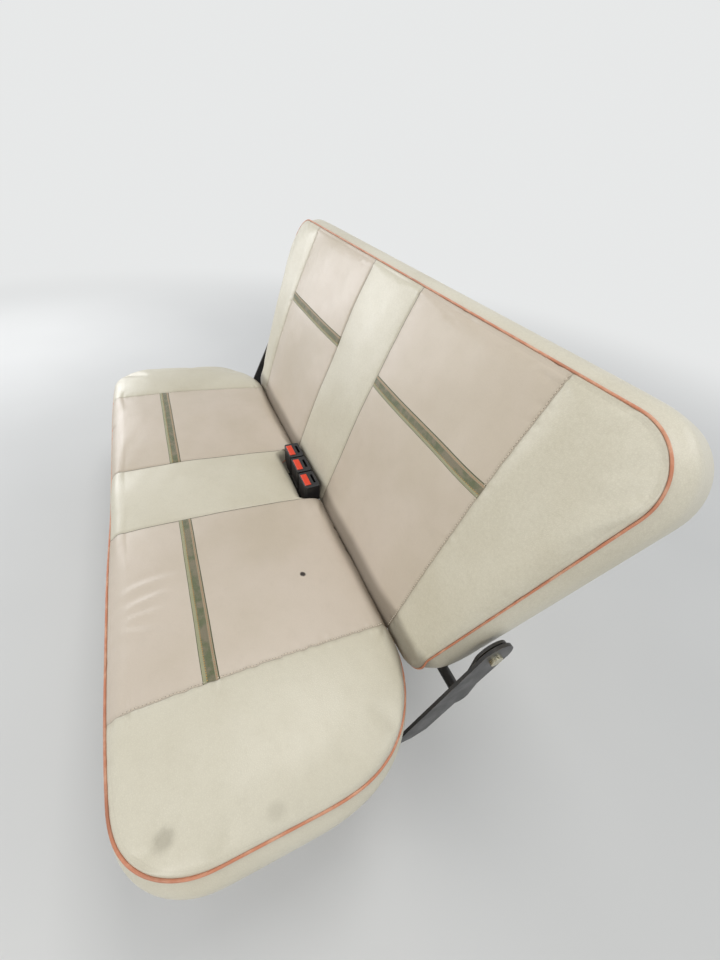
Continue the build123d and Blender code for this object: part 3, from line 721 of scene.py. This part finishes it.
def face_relief(pad, local):
    """The faint unevenness of a pad's foam, and the pulls in its cover: each a crest that bends and fades
    along its length, with a valley on one side of it."""
    out = sum(height * waves(local[:, :2], length, seed) for height, length, seed in pad.foam)
    depth, valley_away, valley_width = PULL_VALLEY
    for x, v, lean, length, height in pad.pulls:
        dx, dv = local[:, 0] - x, local[:, 1] - v
        along = dx * cos(lean) + dv * sin(lean)
        across = dv * cos(lean) - dx * sin(lean) + PULL_BEND * along ** 2
        crest = bell(across, PULL_CREST) - depth * bell(across - valley_away, valley_width)
        out += height * bell(along, length) * crest
    return out


def dressed(pad, materials):
    """A finished pad: swollen, subdivided, then given its seams and folds along its normals. It stores each
    vertex's distance from the piping and its place along the bench for its materials."""
    points, faces, regions, pins = pad_base(pad)
    swollen = inflate(to_row(points, pad.axes), faces, pins, pad.push)
    obj = subdivided(pad.name + "_cover", swollen, faces, regions, pad.body, materials)
    place = as_array(obj.data.vertices, "co")
    local = to_local(place, pad.axes)
    distance = from_piping(place, piping_path(pad), pad.axes)
    top = step(distance, 0, TOP_FROM)
    out = top * (seam_relief(local, pad.seed) + face_relief(pad, local))
    out += piping_relief(distance, local, pad.seed + 3)
    moved = place + as_array(obj.data.vertex_normals, "vector") * out[:, None]
    moved[:, 0] += top * (swayed(pad, local[:, :2]) - local[:, :2])[:, 0]
    obj.data.vertices.foreach_set("co", moved.astype(np.float32).ravel())
    obj.data.update()
    for name, values in (("from_piping", distance), ("along_bench", np.abs(local[:, 0]))):
        stored = obj.data.attributes.new(name, "FLOAT", "POINT")
        stored.data.foreach_set("value", values.astype(np.float32))
    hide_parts(pad.node)
    return obj


# Tubes, ribbons and stitches that lie on the pads

def swept_ring(path, radius, sides):
    """A round tube along a closed path: rings of points square to it, with a frame that doesn't twist."""
    ahead = unit(np.roll(path, -1, axis=0) - np.roll(path, 1, axis=0))
    out = unit(np.cross(ahead, (0.0, 0.0, 1.0)))
    rings = path[:, None] + radius * spokes(out, np.cross(out, ahead), sides)
    return rings.reshape(-1, 3), ring_faces(len(path), sides, closed=True)


def piping(pad, material):
    """A pad's piping: a thin round cord sewn in along the edge of its face."""
    points, faces = swept_ring(piping_path(pad), pad.piping_r, PIPING_SIDES)
    obj = new_mesh(pad.name + "_piping", points, faces, pad.body)
    obj.data.materials.append(material)


def surface_of(obj, axes):
    """A function that gives the height w of a finished pad's face at points (x, v)."""
    tree = BVHTree.FromObject(obj, bpy.context.evaluated_depsgraph_get())
    down = Vector(-axes[1])

    def height(points):
        start = to_row(np.column_stack([points, np.full(len(points), ABOVE_PAD)]), axes)
        return np.array([ABOVE_PAD - tree.ray_cast(Vector(p), down)[3] for p in start])

    return height


def stripe(pad, side, height, material):
    """A woven band sewn across a panel from seam to seam, a little proud, with its edges pressed down. Its
    UV runs in metres along it and from 0 to 1 across it."""
    long, wide = STRIPE_POINTS
    x, s = np.meshgrid(np.linspace(CENTRE_SEAM, OUTER_SEAM, long), np.linspace(-0.5, 0.5, wide))
    x, s = x.ravel(), s.ravel()
    far, length, seed = STRIPE_WANDER
    wander = far * waves(x[:, None], length, seed)
    flat = swayed(pad, np.column_stack([x * side, pad.stripe_v + s * STRIPE_WIDTH + wander]))
    proud = STRIPE_RISE - STRIPE_PRESS * np.abs(2 * s) ** 6
    points = to_row(np.column_stack([flat, height(flat) + proud]), pad.axes)
    faces = grid_faces(wide, long)[:, ::side]
    obj = new_mesh("%s_stripe_%s" % (pad.name, "left" if side > 0 else "right"), points, faces, pad.body)
    layer = obj.data.uv_layers.new(name="Weave")
    corners = np.empty(len(obj.data.loops), np.int32)
    obj.data.loops.foreach_get("vertex_index", corners)
    uv = np.column_stack([np.abs(flat[:, 0]), s + 0.5])[corners]
    layer.data.foreach_set("uv", uv.astype(np.float32).ravel())
    obj.data.materials.append(material)


def stitch_row(places, directions, normals, length, radius):
    """Short threads, each a capsule-like bar that dips into the cover at both ends."""
    round_it = spokes(np.cross(directions, normals), normals, THREAD_SIDES)
    rings = []
    for s in np.linspace(-0.5, 0.5, THREAD_RINGS):
        end = (2 * s) ** 4
        thin = radius * sqrt(max(1 - end, THREAD_TIP ** 2))
        middle = places + directions * s * length + normals * (radius * THREAD_LIFT - THREAD_DIP * end)
        rings.append(middle[:, None] + thin * round_it)
    points = np.stack(rings, axis=1).reshape(-1, 3)
    start = np.arange(len(places)) * THREAD_RINGS * THREAD_SIDES
    faces = start[:, None, None] + ring_faces(THREAD_RINGS, THREAD_SIDES)[:, ::-1]
    return points, faces.reshape(-1, 4)


def seam_stitches(pad, height, materials):
    """A row of stitches beside each outer seam, with a dark bar of painted shade for the needle hole between
    each two.
    """
    x = OUTER_SEAM + STITCH_OFFSET
    first, last = pad.stitched
    parts = []
    for start, length, radius in ((0.0, STITCH_LENGTH, STITCH_R), (STITCH_PITCH / 2, HOLE_LENGTH, HOLE_R)):
        v = np.arange(first + start, last, STITCH_PITCH)
        straight = np.concatenate([np.column_stack([np.full(len(v), side * x), v]) for side in (1, -1)])
        flat, ahead = swayed(pad, straight), swayed(pad, straight + (0, STITCH_AIM))
        places = to_row(np.column_stack([flat, height(flat)]), pad.axes)
        directions = unit(to_row(np.column_stack([ahead, height(ahead)]), pad.axes) - places)
        normals = np.cross((1.0, 0.0, 0.0), directions)
        parts.append(stitch_row(places, directions, normals, length, radius))
    (threads, thread_faces), (holes, hole_faces) = parts
    points = np.concatenate([threads, holes])
    faces = np.concatenate([thread_faces, hole_faces + len(threads)])
    obj = new_mesh(pad.name + "_stitches", points, faces, pad.body)
    for material in materials:
        obj.data.materials.append(material)
    second = np.repeat((0, 1), (len(thread_faces), len(hole_faces))).astype(np.int32)
    obj.data.polygons.foreach_set("material_index", second)


def board_studs(plated):
    """Domed fasteners round the rear board. Each is a dome turned about its own axis, on a flat rim."""
    places = np.array(STUDS + tuple((-x, v) for x, v in STUDS if x))
    board = frame["nodes"]["back_panel"]
    tree = BVHTree.FromObject(board, bpy.context.evaluated_depsgraph_get())
    behind = to_row(np.column_stack([places, np.full(len(places), BEHIND_BOARD)]), BACK_AXES)
    centre = np.array([tree.ray_cast(Vector(p), Vector(BACK_AXES[1]))[0] for p in behind])
    across, rise = np.array(STUD_PROFILE).T
    spoke = spokes(np.array([1.0, 0.0, 0.0]), BACK_AXES[0], STUD_SIDES)
    dome = STUD_R * across[:, None, None] * spoke - STUD_RISE * rise[:, None, None] * BACK_AXES[1]
    points = (centre[:, None, None] + dome).reshape(-1, 3)
    size = len(across) * STUD_SIDES
    start = np.arange(len(places))[:, None] * size
    quads = (start[:, None] + ring_faces(len(across), STUD_SIDES)).reshape(-1, 4)
    top = start + np.arange(size - 1, size - STUD_SIDES - 1, -1)
    foot = start + np.arange(STUD_SIDES)
    obj = new_mesh("board_studs", points, quads.tolist() + top.tolist() + foot.tolist(), "backrest")
    obj.data.materials.append(plated)


# Shader nodes

def linear(red, green, blue):
    """A colour given as 0 to 255 on a screen, as the shader's linear value."""
    values = [(c / 255 / 12.92) if c <= 10 else ((c / 255 + 0.055) / 1.055) ** 2.4 for c in (red, green, blue)]
    return (*values, 1.0)


class Nodes:
    """The nodes of a material or of the world. Each method adds nodes and returns an output. Wherever it
    takes a value, that may be a plain one or another node's output."""

    def __init__(self, tree):
        self.tree = tree

    def fill(self, node, inputs):
        """Sets or links a node's inputs."""
        for key, value in inputs.items():
            if isinstance(value, bpy.types.NodeSocket):
                self.tree.links.new(value, node.inputs[key])
            else:
                node.inputs[key].default_value = value

    def add(self, kind, inputs, out=0, **settings):
        """Any node, with its inputs and settings."""
        node = self.tree.nodes.new(kind)
        for key, value in settings.items():
            setattr(node, key, value)
        self.fill(node, inputs)
        return node.outputs[out]

    @cached_property
    def place(self):
        """The object coordinates, which are the row frame in metres."""
        return self.add("ShaderNodeTexCoord", {}, out=3)

    @cached_property
    def normal(self):
        """The surface's normal."""
        return self.add("ShaderNodeNewGeometry", {}, out=1)

    def stored(self, name):
        """A number that the mesh stores under that name."""
        return self.add("ShaderNodeAttribute", {}, out=2, attribute_name=name)

    def part(self, vector, axis):
        """A vector's x, y or z, as its axis 0, 1 or 2."""
        return self.add("ShaderNodeSeparateXYZ", {0: vector}, out=axis)

    def vector(self, operation, a, b, out=0):
        """A vector from two others, or with out=1 a number, such as their distance."""
        return self.add("ShaderNodeVectorMath", {0: a, 1: b}, out=out, operation=operation)

    def stretched(self, *scale):
        """The place, scaled by its own number along each axis."""
        return self.vector("MULTIPLY", self.place, scale)

    def calc(self, operation, a, b=0.0):
        """A number from one or two others."""
        return self.add("ShaderNodeMath", {0: a, 1: b}, operation=operation)

    def times(self, a, b):
        """The product of two numbers."""
        return self.calc("MULTIPLY", a, b)

    def plus(self, a, b):
        """The sum of two numbers."""
        return self.calc("ADD", a, b)

    def sine(self, value, period, shift=0.0):
        """A wave along a value, its angle shifted by another one."""
        return self.calc("SINE", self.plus(self.times(value, 2 * pi / period), shift))

    def ramp(self, value, low, high, to_low=0.0, to_high=1.0):
        """A value's stretch from low to high, mapped smoothly."""
        inputs = {0: value, 1: low, 2: high, 3: to_low, 4: to_high}
        return self.add("ShaderNodeMapRange", inputs, interpolation_type="SMOOTHSTEP")

    def noise(self, scale, detail=3.0, rough=0.55, place=None):
        """Noise of about so many waves to the metre."""
        inputs = {"Vector": place or self.place, "Scale": scale, "Detail": detail, "Roughness": rough}
        return self.add("ShaderNodeTexNoise", inputs)

    def patches(self, scale, low, high, to_low=0.0, to_high=1.0, **noise):
        """Noise whose stretch from low to high is mapped smoothly."""
        return self.ramp(self.noise(scale, **noise), low, high, to_low, to_high)

    def cells(self, scale, place=None, feature="F1"):
        """Noise of rounded cells, about so many to the metre."""
        inputs = {"Vector": place or self.place, "Scale": scale}
        return self.add("ShaderNodeTexVoronoi", inputs, feature=feature)

    def mix(self, share, a, b):
        """A mix of two colours."""
        return self.add("ShaderNodeMix", {0: share, 6: a, 7: b}, out=2, data_type="RGBA")

    def stain(self, tone, share, strength, colour):
        """A tone stained with a colour, by a share from 0 to 1 times a strength."""
        return self.mix(self.times(share, strength), tone, colour)

    def bump(self, height, distance, strength=1.0, under=None):
        """A normal pushed out of line by a height, on top of the bump under it."""
        inputs = {"Height": height, "Distance": distance, "Strength": strength}
        if under is not None:
            inputs["Normal"] = under
        return self.add("ShaderNodeBump", inputs)

    def show(self, output, share, first, second):
        """Gives the tree's output a mix of two shaders."""
        shader = self.add("ShaderNodeMixShader", {0: share, 1: first, 2: second})
        self.fill(self.tree.nodes[output], {"Surface": shader})


def finished(name, build):
    """A material whose shader's inputs come from build(nodes) as names and values."""
    material = bpy.data.materials.new(name)
    material.use_nodes = True
    nodes = Nodes(material.node_tree)
    nodes.fill(nodes.tree.nodes["Principled BSDF"], build(nodes))
    return material


# Upholstery materials

def near_seam(n, x, seam, reach):
    """1 on the two seams at that distance from the middle, falling to 0 at the reach."""
    return n.ramp(n.calc("ABSOLUTE", n.calc("SUBTRACT", x, seam)), 0.0, reach, 1.0, 0.0)


def spot(n, x, v, radius, narrow, soft):
    """1 inside a spot on the cushion and 0 outside, with a ragged edge. The distance is measured from above,
    whatever the height, and along the bench it counts more."""
    centre = to_row(np.array([[x, v, MARK_HEIGHT]]), SEAT_AXES)[0] * (narrow, 1, 0)
    away = n.vector("DISTANCE", n.stretched(narrow, 1, 0), tuple(centre), out=1)
    ragged = n.patches(60.0, 0.3, 0.7, -0.22 * radius, 0.22 * radius)
    return n.ramp(n.plus(away, ragged), radius * (1 - soft), radius * (1 + soft), 1.0, 0.0)


def vinyl(name, tones, grain, speckle, seam_dirt, marks):
    """Upholstery vinyl in a new and a worn tone: pebbles of pressed grain with darker creases between them and
    a speckle of lighter and darker ones, the lighter ones also painted glints, dirt in the seams and along
    the piping, painted shade in the crease between the pads, a satin gloss that wear polishes and, on the
    cushion, marks."""

    def build(n):
        distance = n.stored("from_piping")
        fine = n.noise(60.0, detail=4.0, rough=0.6)
        bent = n.vector("ADD", n.place, n.times(fine, 0.004))
        pebble = n.ramp(n.cells(grain, bent, "DISTANCE_TO_EDGE"), 0.0, 0.30)
        speck = n.noise(0.62 * grain, detail=2.0, rough=0.5)
        crease = n.vector("DISTANCE", n.stretched(0, 1, 1), tuple(CREASE), out=1)
        channel = n.calc("ABSOLUTE", n.calc("SUBTRACT", distance, CHANNEL[1]))
        tone = n.mix(n.patches(5.0, 0.35, 0.70), *tones)
        tone = n.stain(tone, n.ramp(fine, 0.45, 0.75), 0.04, linear(140, 128, 104))
        # The lighter specks are painted glints of the grain; the darker ones and the pebbles' creases are its
        # own tone
        tone = n.stain(tone, n.ramp(speck, 0.50, 0.68), speckle, linear(244, 240, 224))
        tone = n.stain(tone, n.ramp(speck, 0.50, 0.34), 0.8 * speckle, linear(150, 140, 114))
        tone = n.stain(tone, n.ramp(pebble, 0.0, 1.0, 1.0, 0.0), 0.05 + 0.4 * speckle, linear(128, 116, 94))
        # Painted shade: the cover darker towards the crease between the pads, where shade falls in the tight
        # gap
        tone = n.stain(tone, n.ramp(crease, 0.012, 0.034, 1.0, 0.0), 0.55, linear(78, 64, 48))
        for start, end, strength, colour in PIPING_DIRT:
            near = n.ramp(n.calc("ABSOLUTE", distance), start, end, 1.0, 0.0)
            tone = n.stain(tone, near, strength, linear(*colour))
        tone = n.stain(tone, n.ramp(channel, 0.0, 0.0014, 1.0, 0.0), 0.05, linear(92, 76, 56))
        for seam, reach, strength, colour in seam_dirt:
            tone = n.stain(tone, near_seam(n, n.stored("along_bench"), seam, reach), strength, linear(*colour))
        for x, v, radius, narrow, soft, strength, colour in marks:
            tone = n.stain(tone, spot(n, x, v, radius, narrow, soft), strength, linear(*colour))
        grainy = n.plus(pebble, n.times(n.noise(260.0, rough=0.6), 0.8))
        lay = n.bump(n.noise(12.0, detail=2.0), 0.0010, 0.20, n.bump(grainy, 0.00030, 0.20 + speckle))
        gloss = n.patches(12.0, 0.3, 0.7, 0.34, 0.42)
        return {"Base Color": tone, "Roughness": gloss, "Normal": lay, "Specular IOR Level": 0.50}

    return finished(name, build)


def piping_vinyl():
    """Salmon piping, rubbed paler in patches and grimy in places."""

    def build(n):
        rubbed = n.patches(35.0, 0.42, 0.70, detail=4.0, rough=0.65)
        tone = n.mix(rubbed, linear(200, 130, 98), linear(218, 168, 138))
        tone = n.stain(tone, n.patches(11.0, 0.50, 0.8), 0.5, linear(136, 90, 68))
        lay = n.bump(n.noise(420.0, detail=2.0), 0.0004, 0.5)
        return {"Base Color": tone, "Roughness": 0.46, "Normal": lay}

    return finished("piping_vinyl", build)


def stripe_weave():
    """A jacquard ribbon, from its low edge to its high one: a dark selvedge, a pale band, a dashed yellow
    line, a grey-green ground whose hue wanders, a pale rose band with orange flecks and a dark selvedge."""

    def build(n):
        uv = n.add("ShaderNodeUVMap", {}, uv_map="Weave")
        along, across = n.part(uv, 0), n.part(uv, 1)
        weave = n.times(n.sine(along, WARP_PITCH), n.sine(across, 1 / WEFTS))
        dashes = n.ramp(n.sine(along, DASH_PITCH), -0.3, 0.3)
        hue = n.patches(75.0, 0.35, 0.65, detail=2.0)
        tone = n.mix(hue, linear(112, 118, 84), linear(146, 136, 112))
        tone = n.stain(tone, n.patches(900.0, 0.4, 0.7, detail=2.0), 0.35, linear(84, 92, 62))
        for low, high, colour, shown in RIBBON:
            rise = n.ramp(across, low - RIBBON_SOFT, low + RIBBON_SOFT)
            fall = n.ramp(across, high - RIBBON_SOFT, high + RIBBON_SOFT, 1.0, 0.0)
            tone = n.stain(tone, n.times(rise, fall), dashes if shown is None else shown, linear(*colour))
        tone = n.stain(tone, n.ramp(weave, -1.0, 1.0), 0.26, linear(40, 40, 26))
        return {
            "Base Color": tone, "Roughness": 0.78, "Normal": n.bump(weave, 0.0003, 0.6),
            "Sheen Weight": 0.25, "Sheen Roughness": 0.5,
        }

    return finished("stripe_weave", build)


def sacking():
    """The coarse jute cloth under the foam: two crossing sets of uneven yarns with dark holes between them."""

    def build(n):
        uneven = n.times(n.noise(180.0), 2.4)
        weave = n.calc("MAXIMUM", *(n.sine(n.part(n.place, axis), SACKING_PITCH, uneven) for axis in (0, 1)))
        tone = n.mix(n.patches(40.0, 0.3, 0.7, detail=4.0), linear(150, 128, 94), linear(172, 150, 114))
        tone = n.stain(tone, n.ramp(weave, -0.6, 0.4, 1.0, 0.0), 0.75, linear(70, 56, 38))
        lay = n.bump(weave, 0.0006, 0.8)
        return {"Base Color": tone, "Roughness": 0.92, "Normal": lay, "Sheen Weight": 0.15}

    return finished("jute_sacking", build)


def thread(name, colour):
    """Twisted sewing thread."""

    def build(n):
        inputs = {"Vector": n.place, "Scale": 700.0, "Distortion": 1.0}
        twist = n.add("ShaderNodeTexWave", inputs, wave_type="BANDS", bands_direction="DIAGONAL")
        tone = n.mix(n.ramp(twist, 0.2, 0.8, 0.0, 0.35), colour, linear(120, 98, 70))
        return {"Base Color": tone, "Roughness": 0.6, "Normal": n.bump(twist, 0.0002, 0.7)}

    return finished(name, build)


# Frame and fitting materials

def edge_wear(n, radius, low, high):
    """1 on outer edges, where the bevelled normal turns away from the surface's own, broken up by noise."""
    bevelled = n.add("ShaderNodeBevel", {"Radius": radius})
    same = n.vector("DOT_PRODUCT", bevelled, n.normal, out=1)
    return n.times(n.ramp(same, high, low), n.patches(70.0, 0.42, 0.62, detail=5.0, rough=0.7))


def enamel():
    """Satin black enamel on steel: orange peel, dust on what faces up, scuffs and bare edges."""

    def build(n):
        dust = n.times(n.ramp(n.part(n.normal, 2), 0.2, 1.0), n.patches(18.0, 0.35, 0.8, detail=5.0))
        scuff = n.patches(3.0, 0.62, 0.72, detail=6.0, rough=0.7, place=n.stretched(6.0, 60.0, 60.0))
        bare = n.calc("MAXIMUM", edge_wear(n, 0.0016, 0.80, 0.97), n.times(scuff, 0.35))
        tone = n.stain(linear(32, 32, 34), dust, 0.30, linear(122, 114, 102))
        tone = n.mix(bare, tone, linear(118, 108, 98))
        peel = n.bump(n.noise(520.0, detail=2.0), 0.0002, 0.35)
        chipped = n.bump(n.calc("SUBTRACT", 1.0, bare), 0.0002, 0.6, peel)
        rough = n.plus(n.patches(30.0, 0.3, 0.7, 0.30, 0.42), n.times(dust, 0.3))
        return {"Base Color": tone, "Roughness": rough, "Metallic": n.times(bare, 0.7), "Normal": chipped}

    return finished("black_enamel", build)


def spring_steel():
    """Drawn wire, oiled dark, with specks of rust."""

    def build(n):
        rust = n.patches(90.0, 0.56, 0.70, detail=6.0, rough=0.7)
        tone = n.mix(n.patches(30.0, 0.3, 0.7), linear(104, 103, 101), linear(140, 138, 134))
        tone = n.stain(tone, rust, 0.75, linear(112, 66, 38))
        rough, metal = n.ramp(rust, 0.0, 1.0, 0.34, 0.80), n.ramp(rust, 0.0, 1.0, 0.95, 0.2)
        lay = n.bump(n.noise(800.0, detail=2.0), 0.0001, 0.4)
        return {"Base Color": tone, "Roughness": rough, "Metallic": metal, "Normal": lay}

    return finished("drawn_spring_wire", build)


def zinc():
    """Yellowish zinc plating: soft crystal blotches, a faint rainbow and white bloom in places."""

    def build(n):
        blotch = n.cells(260.0)
        bloom = n.patches(120.0, 0.60, 0.74, detail=5.0, rough=0.7)
        tone = n.mix(n.ramp(blotch, 0.1, 0.9), linear(186, 180, 152), linear(206, 202, 184))
        tone = n.stain(tone, n.patches(40.0, 0.4, 0.7), 0.5, linear(198, 168, 112))
        tone = n.stain(tone, bloom, 0.6, linear(226, 224, 216))
        return {
            "Base Color": tone, "Roughness": n.plus(n.ramp(blotch, 0.0, 1.0, 0.24, 0.36), n.times(bloom, 0.3)),
            "Metallic": n.ramp(bloom, 0.0, 1.0, 0.95, 0.35), "Normal": n.bump(blotch, 0.0001, 0.3),
        }

    return finished("yellow_zinc", build)


def rubber():
    """Moulded rubber, greyed where it rubs the floor."""

    def build(n):
        low = n.times(n.ramp(n.part(n.place, 2), 0.002, 0.012, 1.0, 0.0), 0.6)
        dusty = n.calc("MAXIMUM", low, n.patches(50.0, 0.5, 0.8, 0.0, 0.35, detail=5.0))
        tone = n.mix(dusty, linear(28, 28, 28), linear(104, 100, 94))
        return {"Base Color": tone, "Roughness": 0.82, "Normal": n.bump(n.noise(700.0), 0.0004, 0.5)}

    return finished("moulded_rubber", build)


def moulded(name, colour, worn, grain, rough):
    """Moulded plastic: a fine spark-eroded grain and edges rubbed smooth and pale."""

    def build(n):
        tone = n.stain(colour, edge_wear(n, 0.0012, 0.85, 0.985), 0.55, worn)
        tone = n.mix(n.patches(45.0, 0.55, 0.8, 0.0, 0.18, detail=4.0), tone, linear(128, 118, 104))
        gloss = n.patches(38.0, 0.3, 0.7, rough - 0.06, rough + 0.06)
        lay = n.bump(n.noise(grain, detail=2.0), 0.0002, 0.5)
        return {"Base Color": tone, "Roughness": gloss, "Normal": lay}

    return finished(name, build)


def webbing():
    """Belt webbing, seen from its ribs and cross threads."""

    def build(n):
        rib = n.sine(n.part(n.place, 0), RIB_PITCH)
        pick = n.sine(n.part(n.place, 2), PICK_PITCH, n.times(rib, 1.2))
        weave = n.plus(n.times(rib, 0.6), n.times(pick, 0.5))
        tone = n.mix(n.ramp(weave, -1.0, 1.0), linear(18, 18, 20), linear(52, 52, 54))
        tone = n.mix(n.patches(260.0, 0.55, 0.8, 0.0, 0.25, detail=4.0), tone, linear(96, 92, 86))
        lay = n.bump(weave, 0.0004, 0.7)
        return {"Base Color": tone, "Roughness": 0.85, "Sheen Weight": 0.3, "Normal": lay}

    return finished("belt_webbing", build)


def panel_board():
    """Plain vinyl over board: a leather grain, faint waves of the board and scuffs."""

    def build(n):
        scuff = n.patches(4.0, 0.60, 0.74, detail=6.0, rough=0.7, place=n.stretched(4.0, 40.0, 40.0))
        tone = n.mix(n.patches(3.0, 0.3, 0.7, detail=2.0), linear(180, 172, 154), linear(186, 179, 162))
        tone = n.stain(tone, scuff, 0.22, linear(120, 110, 92))
        lay = n.bump(n.cells(620.0), 0.0004, 0.6, n.bump(n.noise(6.0, detail=1.0), 0.003, 0.25))
        return {"Base Color": tone, "Roughness": 0.5, "Normal": lay}

    return finished("board_vinyl", build)


def finish_frame(plated):
    """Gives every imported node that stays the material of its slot."""
    by_slot = {
        "panel_vinyl": panel_board(),
        "frame_paint": enamel(),
        "spring_steel": spring_steel(),
        "zinc": plated,
        "rubber": rubber(),
        "buckle_plastic": moulded("buckle_shell", linear(26, 26, 28), linear(92, 90, 88), 900.0, 0.42),
        "button_plastic": moulded("buckle_button", linear(226, 62, 24), linear(238, 128, 92), 700.0, 0.34),
        "webbing": webbing(),
    }
    for part in frame["record"]["subparts"]:
        material = by_slot.get(part["material_slot"])
        if material:
            for slot in frame["nodes"][part["node"]].material_slots:
                slot.material = material


# Room, light and camera

def seen_directly(n):
    """1 for what the camera, a mirror or a clear surface shows, 0 for what lights the object."""
    path = n.tree.nodes.new("ShaderNodeLightPath")
    seen = n.calc("MAXIMUM", path.outputs["Is Camera Ray"], path.outputs["Is Glossy Ray"])
    return n.calc("MAXIMUM", seen, path.outputs["Is Transmission Ray"])


def floor():
    """A plain pale floor that keeps the object's shadow and turns into the backdrop further out."""

    def build(n):
        tone = n.mix(n.patches(1.5, 0.3, 0.7, detail=2.0), *FLOOR_TONES)
        return {"Base Color": tone, "Roughness": 0.9, "Specular IOR Level": 0.2}

    material = finished("studio_floor", build)
    n = Nodes(material.node_tree)
    away = n.vector("DISTANCE", n.place, FLOOR_MIDDLE, out=1)
    far = n.times(n.ramp(away, *FLOOR_FADE), seen_directly(n))
    glow = n.add("ShaderNodeEmission", {"Color": BACKDROP, "Strength": 1.0})
    n.show("Material Output", far, n.tree.nodes["Principled BSDF"].outputs[0], glow)
    corners = FLOOR_REACH * np.array([(-1, -1, 0), (1, -1, 0), (1, 1, 0), (-1, 1, 0)])
    obj = new_mesh("studio_floor", corners, [(0, 1, 2, 3)], None)
    obj.data.materials.append(material)


def world():
    """Even soft light, and a pale backdrop where it is seen directly."""
    studio = bpy.data.worlds.new("Studio")
    bpy.context.scene.world = studio
    studio.use_nodes = True
    n = Nodes(studio.node_tree)
    light = n.add("ShaderNodeBackground", {"Color": SKY, "Strength": SKY_STRENGTH})
    backdrop = n.add("ShaderNodeBackground", {"Color": BACKDROP, "Strength": 1.0})
    n.show("World Output", seen_directly(n), light, backdrop)


def lamps():
    """Large soft rectangles of light, each turned towards its target."""
    for name, place, target, size, power, colour in LAMPS:
        data = bpy.data.lights.new(name, "AREA")
        data.shape = "RECTANGLE"
        data.size, data.size_y = size
        data.energy = power
        data.color = colour
        obj = bpy.data.objects.new(name, data)
        obj.location = place
        obj.rotation_euler = (Vector(target) - Vector(place)).to_track_quat("-Z", "Y").to_euler()
        bpy.context.collection.objects.link(obj)


def camera():
    """The camera that the photograph was taken with, as far as its fit tells."""
    data = bpy.data.cameras.new("photo_camera")
    data.sensor_fit = "AUTO"
    data.sensor_width = SENSOR_LONG_SIDE
    data.lens = CAMERA_LENS
    data.clip_start = CAMERA_NEAR
    obj = bpy.data.objects.new("photo_camera", data)
    obj.location = CAMERA_PLACE
    obj.rotation_euler = Euler([radians(a) for a in CAMERA_TURN], "XYZ")
    bpy.context.collection.objects.link(obj)
    bpy.context.scene.camera = obj


def upholstery():
    """Both pads, with their piping, stripes and stitches."""
    cream = linear(216, 210, 191), linear(207, 200, 179)
    rose = linear(210, 197, 181), linear(201, 188, 169)
    piping_cover, jute, weave = piping_vinyl(), sacking(), stripe_weave()
    # The second thread's dark bars are painted shade, standing for the needle holes between the stitches
    sewing = (thread("pale_thread", linear(232, 222, 204)), thread("needle_hole_painted_shade", linear(70, 54, 40)))
    for pad in (CUSHION_PAD, BACK_PAD):
        obj = dressed(pad, (
            vinyl(pad.name + "_grained_vinyl", cream, CREAM_GRAIN, pad.speckle, SEAM_DIRT, pad.marks),
            vinyl(pad.name + "_panel_vinyl", rose, ROSE_GRAIN, 0.02, SEAM_DIRT, pad.marks),
            vinyl(pad.name + "_band_vinyl", cream, CREAM_GRAIN, pad.speckle, (), ()),
            jute,
        ))
        piping(pad, piping_cover)
        height = surface_of(obj, pad.axes)
        for side in (1, -1):
            stripe(pad, side, height, weave)
        seam_stitches(pad, height, sewing)


def main():
    """Builds the room, then the frame's finish and the pads."""
    camera()
    floor()
    world()
    lamps()
    plated = zinc()
    finish_frame(plated)
    upholstery()
    board_studs(plated)
    bpy.context.scene.view_settings.view_transform = "Standard"
    bpy.context.view_layer.update()


main()
